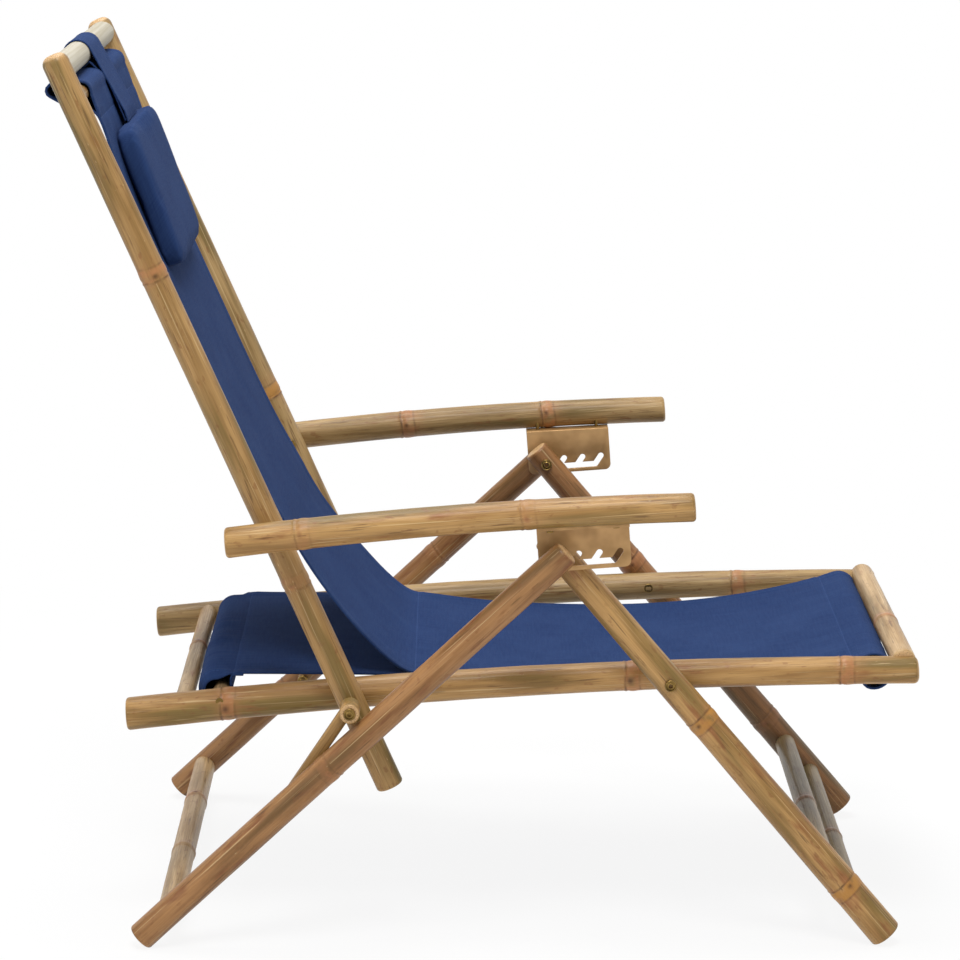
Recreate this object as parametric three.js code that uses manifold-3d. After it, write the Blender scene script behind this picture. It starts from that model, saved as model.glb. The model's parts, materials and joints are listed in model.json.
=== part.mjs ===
// A folding recliner of bamboo canes with a canvas sling, in millimetres, +Z up.
// +X is the front of the chair, +Y its left side and z = 0 the floor.
// Each side is made in parallel layers, from the seat rail outward: the rail, then the front leg and
// the back upright, then a thin layer for the stay and the notched plate, then the rear leg and armrest.
import * as THREE from 'three';
import { mergeVertices } from 'three/addons/utils/BufferGeometryUtils.js';
import Module from 'manifold-3d';

const wasm = await Module();
wasm.setup();

// Places of the pivots in the side plane
const backPivotX = -149;
const backPivotZ = 263;
const legPivotX = 192;
const legPivotZ = 288;
const apexX = 69;
const apexZ = 429.5;
const uprightLean = 24.8; // degrees behind vertical
const armPivotAlong = 205; // from the back pivot, along the upright
const stayEndAlong = 399.3; // from the apex, along the rear leg
const rearFootX = -369.6;

// Layers across the chair
const railHalfSpacing = 220;
const washerThickness = 1.4;
const thinLayer = 13;

// Canes: radius at the start and at the end of each
const railRearRadius = 18;
const railFrontRadius = 15;
const railRearLength = 244; // behind the back pivot
const railFrontLength = 270; // in front of the leg pivot
const railBow = 12;
const frontLegTopRadius = 15;
const frontLegFootRadius = 18;
const frontLegOverrun = 20;
const rearLegTopRadius = 15;
const rearLegFootRadius = 15.5;
const rearLegOverrun = 13;
const uprightLowRadius = 15;
const uprightTopRadius = 14.5;
const uprightBelow = 104;
const uprightAbove = 754;
const armRearRadius = 16.5;
const armFrontRadius = 15.5;
const armRearOverrun = 47;
const armFrontLength = 448;
const armSlope = 5; // degrees
const armBow = 5;
const footWear = 2;
const endRound = 2.5;
const nodeSwell = 0.9;
const nodeWidth = 9;
const railNodeShares = { right: [0.12, 0.63, 0.9], left: [0.2, 0.8] };
const frontLegNodeShares = { right: [0.443, 0.864], left: [0.3, 0.74] };
const rearLegNodeShares = { right: [0.545], left: [0.3, 0.7] };
const uprightNodeShares = { right: [0.28, 0.7], left: [0.43] };
const armNodeShares = { right: [0.15, 0.63], left: [0.36, 0.7] };
const frontBarNodeShares = [0.38];
const rearBarNodeShares = [0.55];
const upperStretcherNodeShares = [0.42];
const lowerStretcherNodeShares = [0.4];
const rearStretcherNodeShares = [0.35, 0.7];
const footCornerShare = Math.SQRT1_2;

// Cross members
const frontBarRadius = 13.5;
const frontBarInset = 15;
const frontBarRise = 9;
const rearBarRadius = 10;
const rearBarInset = 62;
const rearBarRise = 6;
const frontDowelRadius = 12;
const frontDowelInset = 44;
const frontDowelRise = 2;
const rearDowelRadius = 10;
const rearDowelInset = 102;
const rearDowelRise = 7;
const topBarRadius = 14;
const topBarAlong = 737;
const topDowelRadius = 10;
const topDowelAlong = 696;
const topDowelSetback = 8;
const upperStretcherRadius = 12;
const upperStretcherToFoot = 107.1;
const lowerStretcherRadius = 11;
const lowerStretcherToFoot = 61.1;
const rearStretcherRadius = 13;
const rearStretcherToFoot = 43.8;

// Metalwork
const boltRadius = 3;
const headRadius = 6.5;
const headHeight = 3.5;
const socketRadius = 2.6;
const socketDepth = 2.2;
const nutRadius = 5.5;
const nutLength = 9;
const washerRadius = 9;
const pegRadius = 10.8;
const pegLength = 31;
const stayThickness = 12;
const stayWidth = 13;
const plateThickness = 3;
const plateLength = 98;
const plateDepth = 50;
const plateCorner = 7;
const plateSetback = 21; // from the apex pin back to the plate's rear edge
const plateInnerShare = 1 / 3; // of the free room in the thin layer
const flangeWidth = 26;
const notchPitch = 22;
const notchCount = 4;
const notchDepth = 12;
const notchAngle = 53; // degrees from the plate's length
const notchHalfWidth = 3.4;
const screwRadius = 2;
const screwHeadRadius = 4;
const screwHeadHeight = 1.6;
const screwLength = 16;
const screwInset = 14;
const plugScrewRadius = 2.2;
const plugScrewHead = 4.2;
const plugScrewLength = 46;

// Canvas
const cloth = 2;
const slingRoom = 20; // from the sling's edge to the rail's middle
const slingHalfWidth = railHalfSpacing - slingRoom;
const slingBend = 166; // from the back pivot up to where the sling leaves the back's plane
const tunnelRadius = 20;
const tunnelSides = 24;
const seamX = -80;
const seamRise = 13; // above the rail's line
const seatSag = 27;
const lapUpReach = 70;
const lapSeatReach = 20;
const pillowRoom = 35; // from the pillow's end to the sling's edge
const pillowHalfWidth = slingHalfWidth - pillowRoom;
const pillowHeight = 172;
const pillowThickness = 24;
const pillowBelowBar = 80; // from the top bar's middle down to the pillow's top
const strapHalfWidth = 55;
const strapThickness = 1.6;
const strapReturnDrop = 10; // below the top bar
const strapWrapStart = -90; // degrees round the top bar
const strapWrapEnd = 170;
const strapWrapStep = 20;
const sagShare = 0.6;
const frontPanelMeets = 115; // degrees round the front tunnel
const rearTunnelHang = 150; // direction of the rear tunnel's middle from its dowel
const lapSteps = 10;
const seatSteps = 10;
const pillowSides = 28;
const pillowRows = 14;
const pillowFaceShare = 0.45;
const pillowEdgeShare = 0.3;

// Clearances
const gap = 0.3;
const runningGap = 0.35;
const weldDistance = 0.003;
const overrun = 1;
const sides = 16;
const boreSides = 12;
const bendSteps = 8;
const arcSteps = 6;

const bamboo = material('#b98f5c', 0.45, 0);
const bambooPale = material('#c9a878', 0.5, 0);
const bambooRed = material('#9c6238', 0.45, 0);
const bambooGrey = material('#a3937a', 0.55, 0);
const paleWood = material('#ddd3bf', 0.6, 0);
const brass = material('#a08648', 0.35, 0.9);
const bronzePaint = material('#7d6433', 0.5, 0.4);
const canvas = material('#2b4072', 0.9, 0);

const group = new THREE.Group();
const legSides = [{ label: 'right', sign: -1 }, { label: 'left', sign: 1 }];

function material(color, roughness, metalness) {
  return new THREE.MeshStandardMaterial({ color, roughness, metalness });
}

// Side-plane vectors: x forward, y up
const point = (x, z) => new THREE.Vector2(x, z);
const along = (origin, direction, s, rise = 0) =>
  origin.clone().addScaledVector(direction, s).addScaledVector(normalTo(direction), rise);
const normalTo = (direction) => point(-direction.y, direction.x);
const heading = (degrees) => {
  const radians = THREE.MathUtils.degToRad(degrees);
  return point(Math.cos(radians), Math.sin(radians));
};

const backPivot = point(backPivotX, backPivotZ);
const legPivot = point(legPivotX, legPivotZ);
const apex = point(apexX, apexZ);
const railWay = legPivot.clone().sub(backPivot).normalize();
const railSpan = legPivot.distanceTo(backPivot);
const frontLegWay = legPivot.clone().sub(apex).normalize();
const uprightWay = heading(90 + uprightLean);
const rearLegWay = point(rearFootX, rearLegFootRadius * footCornerShare).sub(apex).normalize();
const armPivot = along(backPivot, uprightWay, armPivotAlong);
const stayEnd = along(apex, rearLegWay, stayEndAlong);
const armWay = heading(armSlope);

// Each leg, from the apex to a square-cut foot whose lowest corner is worn flat on the floor
const legLength = (way, footRadius) => (apexZ - footRadius * Math.abs(way.x) + footWear) / -way.y;
const frontLegEnd = legLength(frontLegWay, frontLegFootRadius);
const rearLegEnd = legLength(rearLegWay, rearLegFootRadius);
const upperStretcherAlong = frontLegEnd - upperStretcherToFoot;
const lowerStretcherAlong = frontLegEnd - lowerStretcherToFoot;
const rearStretcherAlong = rearLegEnd - rearStretcherToFoot;
const pillowTopAlong = topBarAlong - pillowBelowBar;

// Layer planes, as distances from the chair's middle
const legLayer = railHalfSpacing + railRearRadius + washerThickness + uprightLowRadius;
const thinStart = legLayer + uprightLowRadius;
const outerLayer = thinStart + thinLayer + Math.max(rearLegFootRadius, armRearRadius);
const railLength = railRearLength + railSpan + railFrontLength;
const railRadiusAt = (s) => THREE.MathUtils.mapLinear(
  s, -railRearLength, railSpan + railFrontLength, railRearRadius, railFrontRadius);

// The rail's bow passes through both pivots
const railRise = (s) => -4 * railBow * s * (s - railSpan) / railLength ** 2;
const onRail = (s, rise = 0) => along(backPivot, railWay, s, railRise(s) + rise);

function solid(geometry) {
  const plain = geometry.clone();
  plain.deleteAttribute('normal');
  plain.deleteAttribute('uv');
  const merged = mergeVertices(plain, weldDistance);
  const index = merged.index.array;
  const triangles = [];
  for (let i = 0; i < index.length; i += 3) {
    const [a, b, c] = [index[i], index[i + 1], index[i + 2]];
    if (a !== b && b !== c && a !== c) triangles.push(a, b, c);
  }
  return new wasm.Manifold(new wasm.Mesh({
    numProp: 3,
    vertProperties: new Float32Array(merged.attributes.position.array),
    triVerts: new Uint32Array(triangles),
  }));
}

function toGeometry(body) {
  const { vertProperties, triVerts } = body.getMesh();
  const geometry = new THREE.BufferGeometry();
  geometry.setAttribute('position', new THREE.BufferAttribute(vertProperties, 3));
  geometry.setIndex(new THREE.BufferAttribute(triVerts, 1));
  const flat = geometry.toNonIndexed();
  flat.computeVertexNormals();
  return flat;
}

// Adds one named piece: its geometry in its own frame, with cuts and joined shapes given in the chair's frame
function addPiece(name, geometry, look, { frame = new THREE.Matrix4(), cuts = [], joins = [] } = {}) {
  const inverse = frame.clone().invert();
  let body = solid(geometry);
  for (const join of joins) body = body.add(solid(join.clone().applyMatrix4(inverse)));
  for (const cut of cuts) body = body.subtract(solid(cut.clone().applyMatrix4(inverse)));
  const mesh = new THREE.Mesh(toGeometry(body), look);
  mesh.name = name;
  mesh.applyMatrix4(frame);
  group.add(mesh);
  return mesh;
}

// A frame whose y runs along a direction of the side plane, x square to it and z across the chair
function caneFrame(start, way, y) {
  const up = normalTo(way);
  return new THREE.Matrix4().makeBasis(
    new THREE.Vector3(up.x, 0, up.y),
    new THREE.Vector3(way.x, 0, way.y),
    new THREE.Vector3(0, 1, 0),
  ).setPosition(start.x, y, start.y);
}

const straight = () => 0;

// A cane along +y with rounded ends and a swollen ring at each node
function caneGeometry(length, startRadius, endRadius, nodeShares = [], bend = straight, grow = 0) {
  const radiusAt = (s) => startRadius + (endRadius - startRadius) * s / length + grow;
  const rows = [[0, 0], [radiusAt(0) - endRound, 0], [radiusAt(0), endRound]];
  for (const share of nodeShares) {
    const s = share * length;
    rows.push([radiusAt(s), s - nodeWidth], [radiusAt(s) + nodeSwell, s - nodeWidth / 3]);
    rows.push([radiusAt(s) + nodeSwell, s + nodeWidth / 3], [radiusAt(s), s + nodeWidth]);
  }
  rows.push([radiusAt(length), length - endRound], [radiusAt(length) - endRound, length], [0, length]);
  const filled = bend === straight ? rows : withSteps(rows, length / bendSteps);
  const geometry = new THREE.LatheGeometry(filled.map(([r, s]) => new THREE.Vector2(r, s)), sides);
  const position = geometry.attributes.position;
  for (let i = 0; i < position.count; i++) {
    position.setX(i, position.getX(i) + bend(position.getY(i)));
  }
  return geometry;
}

// Extra rows between distant ones, so that a bowed cane bends smoothly
function withSteps(rows, step) {
  const filled = [rows[0]];
  for (let i = 1; i < rows.length; i++) {
    const [r0, s0] = rows[i - 1];
    const [r1, s1] = rows[i];
    const count = Math.max(1, Math.ceil((s1 - s0) / step));
    for (let k = 1; k <= count; k++) filled.push([r0 + (r1 - r0) * k / count, s0 + (s1 - s0) * k / count]);
  }
  return filled;
}

// Round shapes across the chair, in the chair's frame
function rod(at, y0, y1, radius, count = boreSides) {
  return new THREE.CylinderGeometry(radius, radius, Math.abs(y1 - y0), count)
    .translate(at.x, (y0 + y1) / 2, at.y);
}

function bore(at, y0, y1, radius) {
  return rod(at, y0, y1, (radius + runningGap) / Math.cos(Math.PI / boreSides));
}

// The canes that cross members meet: each one's shape in its own frame, and that frame
const railShape = (label, grow = 0) => caneGeometry(railLength, railRearRadius, railFrontRadius,
  railNodeShares[label], (s) => railRise(s - railRearLength), grow);
const railFrame = (sign) =>
  caneFrame(along(backPivot, railWay, -railRearLength), railWay, sign * railHalfSpacing);
const frontLegShape = (label, grow = 0) => caneGeometry(frontLegOverrun + frontLegEnd, frontLegTopRadius,
  frontLegFootRadius, frontLegNodeShares[label], straight, grow);
const frontLegFrame = (sign) =>
  caneFrame(along(apex, frontLegWay, -frontLegOverrun), frontLegWay, sign * legLayer);
const rearLegShape = (label, grow = 0) => caneGeometry(rearLegOverrun + rearLegEnd, rearLegTopRadius,
  rearLegFootRadius, rearLegNodeShares[label], straight, grow);
const rearLegFrame = (sign) =>
  caneFrame(along(apex, rearLegWay, -rearLegOverrun), rearLegWay, sign * outerLayer);
const uprightShape = (label, grow = 0) => caneGeometry(uprightBelow + uprightAbove, uprightLowRadius,
  uprightTopRadius, uprightNodeShares[label], straight, grow);
const uprightFrame = (sign) =>
  caneFrame(along(backPivot, uprightWay, -uprightBelow), uprightWay, sign * legLayer);

// Both canes of a pair with the clearance that a cross member keeps to them, in the chair's frame
const pairWithGap = (shape, frame) =>
  legSides.map(({ label, sign }) => shape(label, gap).applyMatrix4(frame(sign)));

// A bolt across the chair with its socket head at headY and its tip at tipY
function addBolt(name, at, headY, tipY, radius = boltRadius, head = headRadius) {
  const out = Math.sign(headY - tipY);
  const topY = headY + out * headHeight;
  addPiece(name, rod(at, tipY, headY + out * overrun, radius), brass, {
    joins: [rod(at, headY, topY, head)],
    cuts: [rod(at, topY - out * socketDepth, topY + out * overrun, socketRadius, 6)],
  });
}

// A drilled length of round bar across the chair, such as a washer, a nut, a peg or a spacer
function addRing(name, at, y0, y1, radius, look = brass) {
  const past = Math.sign(y1 - y0) * overrun;
  addPiece(name, rod(at, y0, y1, radius, sides), look, {
    cuts: [bore(at, y0 - past, y1 + past, boltRadius)],
  });
}

// A round bar across the chair, its ends shaped to the round sides of the two canes that it meets
function addCrossBar(name, at, radius, half, canes, look, nodeShares = [], cuts = []) {
  addPiece(name, caneGeometry(2 * half, radius, radius, nodeShares).translate(at.x, -half, at.y), look, {
    cuts: [...canes, ...cuts],
  });
}

function addSeatFrame() {
  const half = railHalfSpacing;
  const looks = { right: bamboo, left: bambooPale };
  for (const { label, sign } of legSides) {
    const inner = sign * (railHalfSpacing - railRearRadius - overrun);
    const outer = sign * (railHalfSpacing + railRearRadius + overrun);
    const nutY = (s) => sign * (railHalfSpacing - railRadiusAt(s) + nutLength + gap);
    addPiece(`seat_rail_${label}`, railShape(label), looks[label], {
      frame: railFrame(sign),
      cuts: [
        bore(backPivot, inner, outer, boltRadius),
        bore(backPivot, inner, nutY(0), nutRadius),
        bore(legPivot, inner, outer, boltRadius),
        bore(legPivot, inner, nutY(railSpan), nutRadius),
        bore(rearDowelAt, inner, outer, plugScrewRadius),
        bore(rearDowelAt, outer, sign * (railHalfSpacing + plugSeat), plugScrewHead),
      ],
    });
  }
  const rails = pairWithGap(railShape, railFrame);
  addCrossBar('seat_front_bar', frontBarAt, frontBarRadius, half, rails, bambooPale,
    frontBarNodeShares);
  addCrossBar('seat_rear_bar', rearBarAt, rearBarRadius, half, rails, bambooPale,
    rearBarNodeShares);
  addCrossBar('front_sling_dowel', frontDowelAt, frontDowelRadius, half, rails, paleWood);
  const screwHole = ({ sign }) =>
    bore(rearDowelAt, sign * (half - plugScrewLength), sign * half, plugScrewRadius);
  addCrossBar('rear_sling_dowel', rearDowelAt, rearDowelRadius, half, rails, paleWood, [],
    legSides.map(screwHole));
  for (const { label, sign } of legSides) {
    const headY = half + plugSeat + gap;
    const tipY = half - plugScrewLength + gap;
    const shank = rod(rearDowelAt, sign * tipY, sign * (headY + overrun), plugScrewRadius);
    addPiece(`dowel_screw_${label}`, shank, brass, {
      joins: [rod(rearDowelAt, sign * headY, sign * (headY + screwHeadHeight), plugScrewHead)],
    });
  }
}

const plugSeat = railRearRadius - 2 * screwHeadHeight;
const frontBarAt = onRail(railSpan + railFrontLength - frontBarInset, frontBarRise);
const rearBarAt = onRail(-railRearLength + rearBarInset, rearBarRise);
const frontDowelAt = onRail(railSpan + railFrontLength - frontDowelInset, frontDowelRise);
const rearDowelAt = onRail(-railRearLength + rearDowelInset, rearDowelRise);

function frontLegRadiusAt(s) {
  return THREE.MathUtils.mapLinear(s, -frontLegOverrun, frontLegEnd, frontLegTopRadius, frontLegFootRadius);
}

// A slab below the floor that wears the feet flat
function floorSlab() {
  const reach = 4 * outerLayer;
  return new THREE.BoxGeometry(reach, reach, 2 * footWear + 2 * frontLegFootRadius)
    .translate(0, 0, -footWear - frontLegFootRadius);
}

function addFrontLegs() {
  const legPivotAlong = apex.distanceTo(legPivot);
  const radius = frontLegRadiusAt(legPivotAlong);
  const looks = { right: bamboo, left: bambooRed };
  for (const { label, sign } of legSides) {
    const inner = sign * (legLayer - frontLegFootRadius - overrun);
    const outer = sign * (legLayer + frontLegFootRadius + overrun);
    addPiece(`front_leg_${label}`, frontLegShape(label), looks[label], {
      frame: frontLegFrame(sign),
      cuts: [bore(apex, inner, outer, boltRadius), bore(legPivot, inner, outer, boltRadius), floorSlab()],
    });
    const railFace = railHalfSpacing - railRadiusAt(railSpan);
    addBolt(`leg_pivot_bolt_${label}`, legPivot, sign * (legLayer + radius + gap), sign * (railFace + gap));
    addRing(`leg_pivot_nut_${label}`, legPivot, sign * railFace, sign * (railFace + nutLength), nutRadius);
    addRing(`leg_pivot_washer_${label}`, legPivot, sign * (railHalfSpacing + railRadiusAt(railSpan) + gap),
      sign * (legLayer - radius - gap), washerRadius);
    const apexHead = legLayer - frontLegRadiusAt(0) - gap;
    addBolt(`apex_bolt_${label}`, apex, sign * apexHead, sign * (plateInner - gap));
  }
  const legs = pairWithGap(frontLegShape, frontLegFrame);
  addCrossBar('front_stretcher_upper', along(apex, frontLegWay, upperStretcherAlong), upperStretcherRadius,
    legLayer, legs, bambooGrey, upperStretcherNodeShares);
  addCrossBar('front_stretcher_lower', along(apex, frontLegWay, lowerStretcherAlong), lowerStretcherRadius,
    legLayer, legs, bambooGrey, lowerStretcherNodeShares);
}

// A flat bar with round ends, lying along +y from 0 to its length
function stadium(length, radius, depth) {
  const shape = new THREE.Shape();
  shape.absarc(0, 0, radius, Math.PI, 2 * Math.PI);
  shape.absarc(0, length, radius, 0, Math.PI);
  return extrude(shape, depth);
}

function extrude(shape, depth) {
  return new THREE.ExtrudeGeometry(shape, { depth, bevelEnabled: false, curveSegments: arcSteps });
}

const stayInner = thinStart + (thinLayer - stayThickness) / 2;
const plateInner = thinStart + (thinLayer - plateThickness) * plateInnerShare;

function addStays() {
  const way = stayEnd.clone().sub(backPivot).normalize();
  for (const { label, sign } of legSides) {
    const low = Math.min(sign * stayInner, sign * (stayInner + stayThickness));
    const through = [low - overrun, low + stayThickness + overrun];
    addPiece(`stay_${label}`, stadium(backPivot.distanceTo(stayEnd), stayWidth / 2, stayThickness), bamboo, {
      frame: caneFrame(backPivot, way, low),
      cuts: [bore(backPivot, ...through, boltRadius), bore(stayEnd, ...through, boltRadius)],
    });
  }
}

function addRearLegs() {
  for (const { label, sign } of legSides) {
    const inner = sign * (outerLayer - rearLegFootRadius - overrun);
    const insertEnd = sign * (outerLayer + nutLength / 2);
    addPiece(`rear_leg_${label}`, rearLegShape(label), bambooRed, {
      frame: rearLegFrame(sign),
      cuts: [
        bore(apex, inner, insertEnd, nutRadius),
        bore(stayEnd, inner, insertEnd, boltRadius),
        floorSlab(),
      ],
    });
    const insert = rod(apex, sign * (outerLayer - nutLength), insertEnd - sign * gap, nutRadius);
    addPiece(`apex_insert_${label}`, insert, brass, {
      joins: [rod(apex, sign * (plateInner + plateThickness + gap), sign * outerLayer, boltRadius)],
    });
    addBolt(`stay_bolt_${label}`, stayEnd, sign * (stayInner - gap), insertEnd - sign * gap);
  }
  addCrossBar('rear_stretcher', along(apex, rearLegWay, rearStretcherAlong), rearStretcherRadius, outerLayer,
    pairWithGap(rearLegShape, rearLegFrame), bamboo, rearStretcherNodeShares);
}

function addBackPivots() {
  const railFace = railHalfSpacing - railRadiusAt(0);
  const pegStart = thinStart + thinLayer + gap;
  for (const { label, sign } of legSides) {
    const pegEnd = pegStart + pegLength;
    addRing(`rest_peg_${label}`, backPivot, sign * pegStart, sign * pegEnd, pegRadius, bamboo);
    addBolt(`back_pivot_bolt_${label}`, backPivot, sign * (pegEnd + gap), sign * (railFace + gap));
    addRing(`back_pivot_nut_${label}`, backPivot, sign * railFace, sign * (railFace + nutLength), nutRadius);
    addRing(`back_pivot_washer_${label}`, backPivot, sign * (railHalfSpacing + railRadiusAt(0) + gap),
      sign * (legLayer - uprightLowRadius - gap), washerRadius);
  }
}

// A point on the back, forward of the uprights' axis
const onBack = (s, forward = 0) => along(backPivot, uprightWay, s, -forward);

function addBack() {
  for (const { label, sign } of legSides) {
    const inner = sign * (legLayer - uprightLowRadius - overrun);
    const outer = sign * (legLayer + uprightLowRadius + overrun);
    addPiece(`back_upright_${label}`, uprightShape(label), bamboo, {
      frame: uprightFrame(sign),
      cuts: [bore(backPivot, inner, outer, boltRadius), bore(armPivot, inner, outer, boltRadius)],
    });
  }
  const uprights = pairWithGap(uprightShape, uprightFrame);
  addCrossBar('back_top_bar', onBack(topBarAlong), topBarRadius, legLayer, uprights, paleWood);
  addCrossBar('back_top_dowel', topDowelAt, topDowelRadius, legLayer, uprights, bamboo);
}

function addArms() {
  const pinAlong = apex.clone().sub(armPivot).dot(armWay);
  const pinRise = apex.clone().sub(armPivot).dot(normalTo(armWay));
  const bend = (s) => 4 * armBow * s * (armFrontLength - s) / armFrontLength ** 2;
  const length = armRearOverrun + armFrontLength;
  const radiusAt = (s) => THREE.MathUtils.mapLinear(
    s, -armRearOverrun, armFrontLength, armRearRadius, armFrontRadius);
  const plateStart = pinAlong - plateSetback;
  const underside = (s) => bend(s) - radiusAt(s);
  const flangeTop = Math.min(underside(plateStart), underside(plateStart + plateLength)) - gap;
  for (const { label, sign } of legSides) {
    const inner = sign * (outerLayer - armRearRadius - overrun);
    const blind = sign * (outerLayer + nutLength);
    const screwShares = [screwInset / plateLength, 1 - screwInset / plateLength];
    const screws = screwShares.map((share) => plateStart + share * plateLength);
    addPiece(`armrest_${label}`, caneGeometry(length, armRearRadius, armFrontRadius, armNodeShares[label],
      (s) => bend(s - armRearOverrun)), bamboo, {
      frame: caneFrame(along(armPivot, armWay, -armRearOverrun), armWay, sign * outerLayer),
      cuts: [
        bore(armPivot, inner, blind, boltRadius),
        ...screws.map((s) => armScrew(s, sign, flangeTop, screwRadius + runningGap, screwLength)),
      ],
    });
    addBracket(label, sign, plateStart, flangeTop, pinAlong, pinRise, screws);
    addBolt(`arm_bolt_${label}`, armPivot, sign * (legLayer - uprightLowRadius - gap), blind - sign * gap);
    const spacerEnd = outerLayer - radiusAt(0) - gap;
    addRing(`arm_spacer_${label}`, armPivot, sign * (thinStart + gap), sign * spacerEnd, washerRadius);
  }
}

// A screw hole or shank square to the flange, in the chair's frame
function armScrew(s, sign, low, radius, length) {
  const y = sign * (plateInner + plateThickness + (flangeWidth - plateThickness) / 2);
  return new THREE.CylinderGeometry(radius, radius, length, boreSides)
    .translate(0, length / 2, 0)
    .applyMatrix4(caneFrame(along(armPivot, armWay, s, low), normalTo(armWay), y));
}

function addBracket(label, sign, start, top, pinAlong, pinRise, screws) {
  const low = Math.min(sign * plateInner, sign * (plateInner + plateThickness));
  const frame = caneFrame(armPivot, armWay, low);
  const end = start + plateLength;
  const cornerX = top - plateDepth + plateCorner;
  const shape = new THREE.Shape();
  shape.moveTo(top, start);
  shape.lineTo(top, end);
  shape.absarc(cornerX, end - plateCorner, plateCorner, Math.PI / 2, Math.PI);
  shape.absarc(cornerX, start + plateCorner, plateCorner, Math.PI, 1.5 * Math.PI);
  shape.closePath();
  const plate = extrude(shape, plateThickness);
  const out = sign > 0 ? 0 : plateThickness - flangeWidth;
  const flange = new THREE.BoxGeometry(plateThickness, plateLength, flangeWidth)
    .translate(top - plateThickness / 2, (start + end) / 2, out + flangeWidth / 2)
    .applyMatrix4(frame);
  const cutDepth = plateThickness + 2 * overrun;
  const slot = (s, rise, way, length) => stadium(length, notchHalfWidth, cutDepth)
    .applyMatrix4(caneFrame(along(armPivot, armWay, s, rise), way, low - overrun));
  const notchWay = heading(armSlope + notchAngle);
  const footShift = notchDepth * Math.cos(THREE.MathUtils.degToRad(notchAngle));
  const footDrop = notchDepth * Math.sin(THREE.MathUtils.degToRad(notchAngle));
  const cuts = [slot(pinAlong - footShift, pinRise - footDrop, armWay, (notchCount - 1) * notchPitch)];
  for (let i = 0; i < notchCount; i++) {
    cuts.push(slot(pinAlong - footShift + i * notchPitch, pinRise - footDrop, notchWay, notchDepth));
  }
  const headTop = top - plateThickness - gap;
  for (const s of screws) cuts.push(armScrew(s, sign, headTop, screwRadius + runningGap, screwLength));
  addPiece(`arm_bracket_${label}`, plate, bronzePaint, { frame, joins: [flange], cuts });
  screws.forEach((s, i) => {
    addPiece(`bracket_screw_${label}_${i + 1}`,
      armScrew(s, sign, headTop - screwHeadHeight, screwHeadRadius, screwHeadHeight), brass, {
        joins: [armScrew(s, sign, headTop - overrun, screwRadius, screwLength)],
      });
  });
}

// Canvas: an even strip along a curve of the side plane, hung across the chair
function strip(points, thickness, halfWidth) {
  const edge = (offset) => points.map((p, i) => {
    const before = points[Math.max(i - 1, 0)];
    const after = points[Math.min(i + 1, points.length - 1)];
    return p.clone().addScaledVector(normalTo(after.clone().sub(before).normalize()), offset);
  });
  const shape = new THREE.Shape([...edge(thickness / 2), ...edge(-thickness / 2).reverse()]);
  const toSidePlane = new THREE.Matrix4().makeBasis(
    new THREE.Vector3(1, 0, 0), new THREE.Vector3(0, 0, 1), new THREE.Vector3(0, -1, 0),
  ).setPosition(0, halfWidth, 0);
  return extrude(shape, 2 * halfWidth).applyMatrix4(toSidePlane);
}

// A sewn tunnel, hanging from its dowel in a given direction
function tunnelCentre(dowelAt, dowelRadius, hangWay) {
  const slack = (tunnelRadius - cloth) * Math.cos(Math.PI / tunnelSides) - dowelRadius - gap;
  return dowelAt.clone().addScaledVector(hangWay, slack);
}

function tunnel(centre) {
  return rod(centre, -slingHalfWidth, slingHalfWidth, tunnelRadius, tunnelSides);
}

function tunnelBore(centre) {
  return rod(centre, -slingHalfWidth - overrun, slingHalfWidth + overrun, tunnelRadius - cloth, tunnelSides);
}

const topDowelAt = onBack(topDowelAlong, -topDowelSetback);
const topTunnelAt = tunnelCentre(topDowelAt, topDowelRadius, uprightWay.clone().negate());
const frontTunnelAt = tunnelCentre(frontDowelAt, frontDowelRadius, point(-1, 0));
const rearTunnelAt = tunnelCentre(rearDowelAt, rearDowelRadius, heading(rearTunnelHang));
const seam = along(backPivot, railWay, (seamX - backPivotX) / railWay.x, seamRise);

function addSling() {
  const halfCloth = cloth / 2;
  const topForward = -topDowelSetback + tunnelRadius - halfCloth;
  addPiece('sling_back', strip([onBack(slingBend, topForward), onBack(topTunnelAlong(), topForward)], cloth,
    slingHalfWidth), canvas, { joins: [tunnel(topTunnelAt)], cuts: [tunnelBore(topTunnelAt)] });
  const lapTop = onBack(slingBend - gap, topForward);
  const lap = new THREE.CubicBezierCurve(
    lapTop,
    lapTop.clone().addScaledVector(uprightWay, -lapUpReach),
    seam.clone().addScaledVector(railWay, -lapSeatReach),
    seam.clone().addScaledVector(railWay, -gap),
  );
  addPiece('sling_lap', strip(lap.getPoints(lapSteps), cloth, slingHalfWidth), canvas);
  const frontEnd = along(frontTunnelAt, heading(frontPanelMeets), tunnelRadius - halfCloth);
  const seat = new THREE.QuadraticBezierCurve(
    seam.clone(),
    seam.clone().lerp(frontEnd, sagShare).addScaledVector(normalTo(railWay), -2 * seatSag),
    frontEnd,
  );
  addPiece('sling_seat', strip(seat.getPoints(seatSteps), cloth, slingHalfWidth), canvas, {
    joins: [tunnel(frontTunnelAt)], cuts: [tunnelBore(frontTunnelAt)],
  });
  const rearTop = along(rearTunnelAt, heading(90), tunnelRadius - halfCloth);
  const rearEnd = along(seam, railWay, -cloth, -cloth - gap);
  addPiece('sling_rear_panel', strip([rearTop, rearEnd], cloth, slingHalfWidth), canvas, {
    joins: [tunnel(rearTunnelAt)], cuts: [tunnelBore(rearTunnelAt)],
  });
}

function topTunnelAlong() {
  return topTunnelAt.clone().sub(backPivot).dot(uprightWay);
}

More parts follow.
